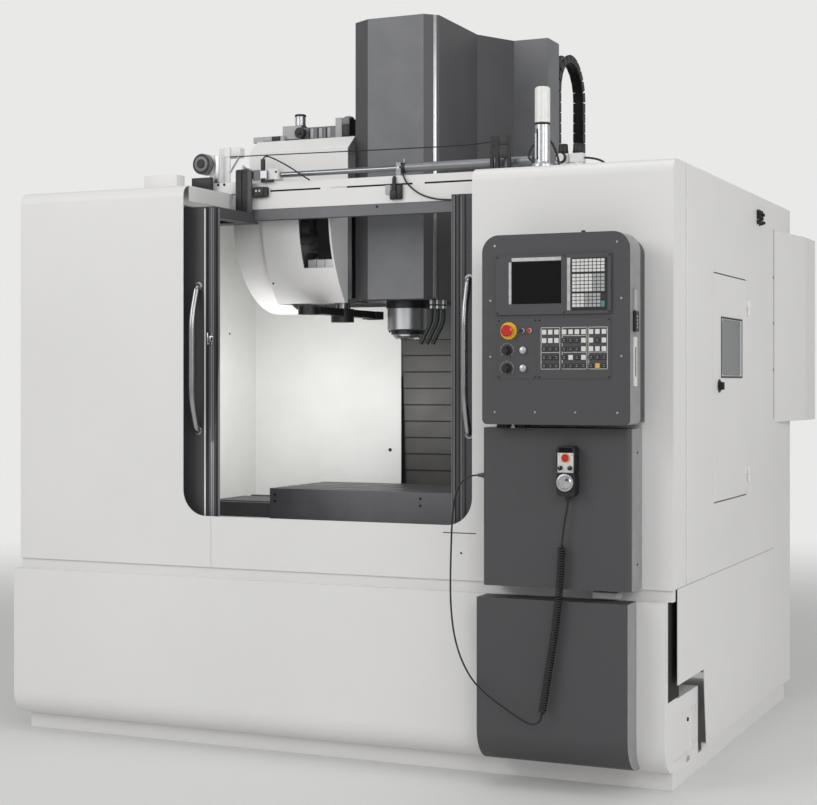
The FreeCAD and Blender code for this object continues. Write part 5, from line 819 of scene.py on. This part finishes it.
def air_details():
    """The two regulators' black knobs and gauge, white bodies and clear bowls, and their hoses."""
    recolour("air_unit", WHITE, lambda at, n: 2.211 < at.z < 2.245)
    x0, y0, z0 = 0.79, -0.7, ROOF_Z
    for number, x in enumerate((x0 + 0.03, x0 + 0.086), 1):
        build(f"regulator_knob_{number}", "black_plastic",
            (turned, (x, y0 + 0.03, z0 + 0.0785), "z",
                [(0, 0.0165), (0.004, 0.019), (0.01, 0.0195), (0.0105, 0.018), (0.034, 0.0172), (0.037, 0.015)], 28))
        build(f"regulator_bowl_{number}", LAMP,
            (turned, (x, y0 + 0.03, z0 + 0.008), "z", [(0, 0.008), (0.004, 0.015), (0.01, 0.019), (0.038, 0.0192)],
                28))
    build("gauge_case", "black_plastic",
        (turned, (x0 + 0.03, y0 - 0.0105, z0 + 0.062), "y", [(0, 0.017), (0.001, 0.02), (0.016, 0.0205)], 32))
    build("gauge_face", KEY_WHITE,
        (turned, (x0 + 0.03, y0 - 0.0112, z0 + 0.062), "y", [(0, 0.015), (0.002, 0.015)], 32))
    wire("air_hose",
        [(x0 + 0.112, y0 + 0.03, z0 + 0.062), (x0 + 0.14, y0 + 0.032, z0 + 0.06), (x0 + 0.175, y0 + 0.06, z0 + 0.05),
            (x0 + 0.19, y0 + 0.13, z0 + 0.02), (x0 + 0.195, y0 + 0.2, z0 + 0.0045)], 0.004, RUBBER)


# ---- spindle, nozzles and head ----

def head_details():
    """Painted shade on the cover's sides and underside, rings and screws of the spindle cartridge, nozzle fittings and
    their braided hoses, and a painted highlight strip on the cover's edge.
    """
    recolour("spindle", TURNED, lambda at, n: True)
    # painted shade: the cover's sides and chamfers take the darker grey, and its underside blackened steel
    recolour("head_cover", DARK_GREY_AND_SHADE, lambda at, n: n.y > -0.9 and abs(n.z) < 0.5 and at.y < 0.25)
    recolour("head_cover", BLACKENED, lambda at, n: n.z < -0.9 and at.y < 0.25)
    work = bmesh.new()
    turned(work, (0, SPINDLE_Y, 1.7055), "z", [(0.0, 0.0865), (0.0015, 0.0885), (0.0325, 0.0885), (0.0335, 0.087)], 64)
    turned(work, (0, SPINDLE_Y, 1.599), "z", [(0.0, 0.0665), (0.001, 0.0685), (0.0165, 0.0685), (0.0175, 0.067)], 56)
    for n in range(8):
        angle = math.radians(22.5 + 45 * n)
        place = 0.0745 * math.cos(angle), SPINDLE_Y + 0.0745 * math.sin(angle), 1.6165
        screw(work, place, "-z", 0.0055, 0.006)
    finish_piece("cartridge_rings", "spindle", work, "black_metal")
    fittings, hoses = bmesh.new(), []
    for n in range(3):
        x, y = 0.116 + n * 0.02, SPINDLE_Y - 0.02 + n * 0.016
        turned(fittings, (x, y, 1.703), "z",
            [(0.0, 0.0085), (0.002, 0.0105), (0.012, 0.011), (0.0125, 0.0085), (0.018, 0.0085), (0.0185, 0.0115),
                (0.0355, 0.0115), (0.0365, 0.01)], 24)
        hoses.append([(x, y, 1.705), (x, y, 1.675), (x - 0.004, y - 0.001, 1.645), (x - 0.02, y - 0.006, 1.61),
            (x - 0.044, y - 0.012, 1.56)])
    finish_piece("nozzle_fittings", "head", fittings, "silver")
    for number, points in enumerate(hoses, 1):
        wire(f"nozzle_hose_{number}", points, 0.0088, BRAID, body="head")
    # a silver strip on the cover's corner chamfer: a painted highlight along the bend
    corner = Matrix.Translation((0.165, -0.3465, 2.312)) @ Matrix.Rotation(math.radians(45), 4, "Z")
    build("head_edge_painted_highlight", "silver", (tilted, corner, (0.014, 0.003, 1.142), 0.0012, 2), body="head")
    plate("head_base_lip", BLACK, [((-0.15, 0.16), (-0.3765, -0.3725), (1.7345, 1.74))], 0.001, body="head")


# ---- covers of the ways, table and walls ----

PLATE_TOP = 1.592
PLATE_PITCH = 0.073


def way_covers():
    """Steel finish of the telescopic plates, a dark strip on each lower edge that is a wiper and painted shade of the
    step, the darker grey of painted shade on the head's lower part, and the bar above them.
    """
    for number in range(8):
        node = "head_cover" if number == 0 else f"way_plate_{number}"
        recolour(node, COVER_STEEL, lambda at, n: at.z < 1.6 and at.y > 0.25)
        if number == 0:
            # the head's lower part round the spindle takes the darker grey as painted shade under the head
            recolour(node, DARK_GREY_AND_SHADE, lambda at, n: 1.6 < at.z < 1.74)
        body = "head" if number == 0 else f"way_plate_{number}"
        y, z = 0.27 + number * 0.004, PLATE_TOP - (number + 1) * PLATE_PITCH
        # each dark strip is partly a wiper and partly painted shade under the plate's edge
        plate(f"way_wiper_and_shade_{number}", GASKET, [((-0.2555, 0.2555), (y - 0.0006, y + 0.0002), (z + 0.0003, z + 0.006))],
            body=body)
    recolour("column", COVER_STEEL, lambda at, n: at.y < 0.312 and at.z < 1.05 and n.y < -0.5)
    plate("way_cover_bar", "black_plastic", [((-0.258, 0.258), (0.262, 0.2705), (1.5905, 1.613))], 0.0015, body="head")


def table_details():
    """Screws on the table's front edge, and one in the back wall."""
    build("table_screws", "black_metal",
        *[(screw, (x, -0.494, z), "-y", 0.006, 0.0028) for x in (-0.486, 0.165) for z in (0.915, 0.943)], body="table")
    build("wall_screw", "black_metal", (screw, (-0.313, 0.262, 1.101), "-y", 0.008, 0.006))


def upper_walls():
    """Inner walls above the splash walls, up to the doors' roof parts, with a few screws."""
    build("upper_walls", INSIDE, (block, (-1.0, -0.9985), (-0.887, 0.262), (1.6, 2.035), 0.0005, 1),
        (block, (-1.0, -0.9985), (-0.54, 0.262), (2.034, 2.155), 0.0005, 1),
        (block, (-1.0, -0.712), (0.26, 0.2618), (1.6, 2.155), 0.0005, 1))
    build("upper_wall_screws", "black_metal",
        *[(screw, (-0.9985, y, 1.622), "x", 0.005, 0.0025) for y in (-0.76, -0.5, -0.24, 0.02)])


# ---- tool changer ----

def changer_details():
    """Tab in the sight window, side plate beside the head, screws by the hood's seam, and the drives' finishes."""
    plate("sight_tab", "silver", [((-0.338, -0.222), (-0.484, -0.48), (1.868, 1.902))], 0.001)
    plate("sight_tab_seams", BLACKENED, [((x, x + 0.0018), (-0.4846, -0.4838), (1.87, 1.9)) for x in (-0.3, -0.262)])
    plate("changer_side_plate", HEAD_GREY, [((-0.262, -0.206), (-0.352, -0.349), (1.745, 2.15))], 0.0008)
    # on the hood's round faces, one screw to each side of its seam
    work = bmesh.new()
    for x in (-0.533, -0.505):
        y = -0.14 - math.sqrt(0.385 ** 2 - 0.27 ** 2) if x < -0.516 else -math.sqrt(0.552 ** 2 - 0.285 ** 2)
        screw(work, (x, y, 1.81), "-y", 0.0045, 0.003)
    finish_piece("hood_screws", "root", work, "black_metal")
    recolour("changer_frame", KEY_GREY, lambda at, n: at.z > 2.421)
    recolour("changer_frame", HEAD_GREY, lambda at, n: at.z > 2.422 and -0.475 < at.x < -0.298)
    recolour("changer_frame", ALUMINIUM, lambda at, n: at.z > 2.487 and abs(at.x + 0.496) < 0.024)
    build("drive_covers", "black_plastic",
        (turned, (-0.471, -0.312, 2.452), "y", [(0, 0.02), (0.003, 0.0225), (0.022, 0.0225)], 32),
        (turned, (-0.471, -0.316, 2.452), "y", [(0, 0.009), (0.001, 0.0105), (0.004, 0.0105)], 24),
        (block, (-0.284, -0.2485), (-0.284, -0.2798), (2.4215, 2.478), 0.001),
        (block, (-0.2501, -0.2485), (-0.28, -0.224), (2.4215, 2.504), 0.0005),
        *[(block, (x, x + 0.006), (-0.2815, -0.28), (2.428, 2.472), 0.0005) for x in (-0.44, -0.4, -0.36)],
        (block, (-0.6, -0.56), (-0.3125, -0.31), (2.424, 2.442), 0.0005),
        (block, (-0.56, -0.48), (-0.2915, -0.29), (2.4205, 2.43), 0.0005))
    build("drive_flanges", KEY_GREY, (block, (-0.3135, -0.284), (-0.2845, -0.2798), (2.425, 2.5075), 0.001),
        (block, (-0.64, -0.6), (-0.3135, -0.31), (2.425, 2.441), 0.0008),
        *[(block, (x, x + 0.014), (-0.282, -0.28), (2.43, 2.47), 0.0006) for x in (-0.432, -0.392, -0.352)])
    build("drive_dome", EDGE_GREY, (block, (-0.284, -0.249), (-0.283, -0.2798), (2.478, 2.5055), 0.0015),
        (turned, (-0.2675, -0.25, 2.506), "z", [(0, 0.023), (0.004, 0.022), (0.008, 0.016), (0.01, 0.008)], 28))
    build("upright_caps", "black_plastic",
        (turned, (-0.496, -0.25, 2.5275), "z", [(0, 0.0225), (0.001, 0.024), (0.008, 0.024), (0.01, 0.021)], 28),
        (turned, (-0.496, -0.25, 2.4855), "z", [(0, 0.025), (0.004, 0.025)], 28))


# ---- hand pendant ----

KNOB_SIDE, KNOB_Z = 0.017, 1.113      # the two selectors, to either side of the middle
CRANK_Z = 1.064
CRANK_MARKS = 50


def pendant_details():
    """Control plate, display window, dial graduations and pointers of the hand pendant, with its screws."""
    corners = [Vector(c) for c in frame["nodes"]["pendant_body"].bound_box]
    x = (min(c.x for c in corners) + max(c.x for c in corners)) / 2
    y = min(c.y for c in corners) + 0.002
    recolour("pendant_body", KEY_WHITE, lambda at, n: n.y < -0.9 and at.y < y - 0.001 and 1.09 < at.z < 1.1645)
    recolour("pendant_body", SCREEN, lambda at, n: n.y < -0.9 and at.y < y - 0.0015 and at.z > 1.166)
    build("pendant_screws", STAINLESS,
        *[(screw, (x + side * 0.0235, y - 0.0015, z), "-y", 0.0022, 0.001) for side in (-1, 1)
            for z in (1.1575, 1.1035)])
    build("pendant_stop_ring", YELLOW,
        (turned, (x, y - 0.0018, 1.147), "y",
            [(0, 0.0132), (0.0, 0.0158), (0.0006, 0.0165), (0.0017, 0.0165), (0.0017, 0.0132)], 36, True))
    work = bmesh.new()
    for side in (-1, 1):
        for n in range(5):
            angle = math.radians(-60 + 30 * n)
            mark_x = x + side * KNOB_SIDE + 0.0098 * math.sin(angle)
            mark_z = KNOB_Z + 0.0098 * math.cos(angle)
            block(work, (mark_x - 0.0004, mark_x + 0.0004), (y - 0.0019, y - 0.0015),
                (mark_z - 0.0008, mark_z + 0.0008))
    finish_piece("pendant_marks", "root", work, GASKET)
    for number, side in enumerate((-1, 1), 1):
        knob_x = x + side * KNOB_SIDE
        plate(f"pendant_pointer_{number}", KEY_WHITE,
            [((knob_x - 0.0005, knob_x + 0.0005), (y - 0.014, y - 0.0136), (1.1145, 1.119))],
            body=f"pendant_knob_{number}")
    build("dial_rim", "silver",
        (turned, (x, y - 0.0108, CRANK_Z), "y", [(0, 0.0278), (0.0006, 0.0293), (0.008, 0.0293), (0.0086, 0.0284)],
            60), body="pendant_dial")
    work = bmesh.new()
    for n in range(CRANK_MARKS):
        turn = Matrix.Translation((x, y - 0.01095, CRANK_Z)) @ Matrix.Rotation(math.tau * n / CRANK_MARKS, 4, "Y")
        long = 0.003 if n % 5 == 0 else 0.0018
        tilted(work, turn @ Matrix.Translation((0, 0, 0.0268 - long / 2)), (0.0005, 0.0003, long))
    finish_piece("dial_marks", "pendant_dial", work, GASKET)
    build("dial_crank", "black_plastic",
        (turned, (x + 0.01, y - 0.0222, CRANK_Z + 0.01), "y",
            [(0, 0.0036), (0.001, 0.0052), (0.004, 0.0056), (0.008, 0.0044)], 24), body="pendant_dial")


# ---- right side: service door, rear cabinet and glands ----

def side_details():
    """Seams, cabinet screws, the cable glands and the trim round the side door, its window and latch."""
    x = RIGHT_X
    seal_x = x - 0.001, x + 0.0022
    # joint in the panel under the doors, and the folded ends of the front panels' bends
    plate("sill_joint", HEAD_GREY, [((-0.4835, -0.4827), (FRONT_Y - 0.0003, FRONT_Y + 0.0005), (0.697, 0.884))])
    build("bend_ends", WHITE,
        *[(turned, (end, FRONT_Y + 0.045, 2.121), "x", [(0, 0.044), (0.003, 0.044)], 64) for end in (-1.3716, 1.3246)],
        (block, (-1.368, -1.3655), (-0.97, -0.874), (0.656, 0.694)))
    plate("side_seams", EDGE_GREY,
        [((x - 0.001, x + 0.0004), (-0.8452, -0.8436), (0.7, 2.16)),
            ((x - 0.001, x + 0.0003), (-0.985, 0.616), (0.6955, 0.6975))])
    plate("side_seam_fold", WHITE, [((x - 0.001, x + 0.002), (-0.84, -0.825), (0.7, 2.162))], 0.0009)
    plate("cabinet_seam", GASKET, [((x - 0.001, x + 0.0008), (0.609, 0.6135), (1.245, 2.055))])
    build("cabinet_screws", EDGE_GREY, *[(screw, (x, 0.601, z), "x", 0.007, 0.003) for z in (1.85, 1.654, 1.457)])
    build("cable_glands", "black_plastic",
        *[(turned, (x - 0.001, y, z), "x",
            [(0, r + 0.001), (0.004, r + 0.001), (0.0045, r), (0.012, r), (0.0125, r * 0.7), (0.018, r * 0.65)], 20)
            for y, z, r in ((0.285, 2.098, 0.011), (0.318, 2.1, 0.008), (0.352, 2.092, 0.01), (0.285, 2.079, 0.009),
                (0.326, 2.074, 0.011), (0.285, 2.058, 0.009), (0.322, 2.054, 0.008), (0.362, 2.06, 0.008))])
    plate("side_door_gap", GASKET,
        [((x - 0.002, x + 0.0005), (-0.448, 0.069), (1.8065, 1.8105)),
            ((x - 0.002, x + 0.0004), (-0.44, 0.088), (0.956, 0.959))])
    plate("side_door_edge", WHITE, [((x - 0.0005, x + 0.0018), (-0.4455, -0.4385), (0.965, 1.8))], 0.0008,
        body="side_door")
    front, back, low, high, lip = -0.335, 0.012, 1.419, 1.65, 0.007
    plate("side_window_seal", BLACK,
        [(seal_x, (front, front + lip), (low, high)), (seal_x, (back - lip, back), (low, high)),
            (seal_x, (front + lip, back - lip), (low, low + lip)),
            (seal_x, (front + lip, back - lip), (high - lip, high))], 0.001, body="side_door")
    build("latch_plate", "black_plastic",
        (turned, (x - 0.001, -0.366, 1.389), "x",
            [(0, 0.017), (0.0, 0.025), (0.005, 0.025), (0.006, 0.0235), (0.006, 0.017)], 8, True), body="side_door")
    build("plinth_screws", "black_metal", (screw, (1.292, -0.738, 0.262), "x", 0.008, 0.004),
        (screw, (1.292, -0.688, 0.2), "x", 0.008, 0.004))


# ---- back: coolant tank, its pump, cabinet locks and hinges ----

PUMP_X, PUMP_Y = 0.1, 1.073


def back_details():
    """Pump motor with fins and terminal box, tank lids and sight glass, and the rear cabinet's locks and hinges."""
    recolour("coolant_tank", DARK_GREY_AND_SHADE, lambda at, n: at.z > 0.421 and abs(at.x - PUMP_X) < 0.075)
    work = bmesh.new()
    for n in range(7):
        z = 0.45 + n * 0.018
        turned(work, (PUMP_X, PUMP_Y, z), "z", [(0.0, 0.06), (0.001, 0.0665), (0.007, 0.0665), (0.008, 0.06)], 40)
    block(work, (0.06, 0.14), (1.134, 1.172), (0.48, 0.55), 0.004)
    turned(work, (PUMP_X, PUMP_Y, 0.659), "z", [(0.0, 0.058), (0.003, 0.06), (0.008, 0.056)], 40)
    finish_piece("pump_fins", "root", work, GRAPHITE)
    build("tank_lids", STAINLESS,
        *[step for x in (-0.76, -0.4, 0.33)
            for step in ((block, (x - 0.09, x + 0.09), (0.99, 1.16), (0.424, 0.43), 0.002),
                (block, (x - 0.03, x + 0.03), (1.062, 1.088), (0.43, 0.444), 0.004))])
    plate("tank_level_glass", SCREEN, [((-0.64, -0.615), (1.1925, 1.1965), (0.12, 0.33))], 0.002)
    plate("tank_seam", GASKET, [((-0.899, 0.499), (1.1925, 1.1936), (0.396, 0.3985))])
    build("cabinet_locks", "black_plastic",
        *[step for z in (1.4, 1.88)
            for step in ((turned, (0.985, 1.2385, z), "y", [(0, 0.016), (0.004, 0.016), (0.006, 0.014)], 24),
                (block, (0.978, 0.992), (1.244, 1.247), (z - 0.01, z + 0.01), 0.001))])
    build("cabinet_hinges", "black_metal",
        *[(turned, (1.369, 1.243, z - 0.03), "z", [(0, 0.0055), (0.001, 0.0065), (0.059, 0.0065), (0.06, 0.0055)], 20)
            for z in (1.36, 1.643, 1.926)])
    build("cabinet_louvres", WHITE,
        *[(block, (1.08, 1.24), (1.2385, 1.2425), (1.33 + n * 0.014, 1.336 + n * 0.014), 0.0012, 1) for n in range(9)])


camera()
floor()
world()
lights()
dress_nodes()
pendant_cord()
display()
operation_keys()
console_knobs()
console_trim()
cover_side()
beam_details()
hanger_finish()
left_roof_items()
door_edges()
signal_tower()
air_details()
head_details()
way_covers()
table_details()
upper_walls()
changer_details()
pendant_details()
side_details()
back_details()
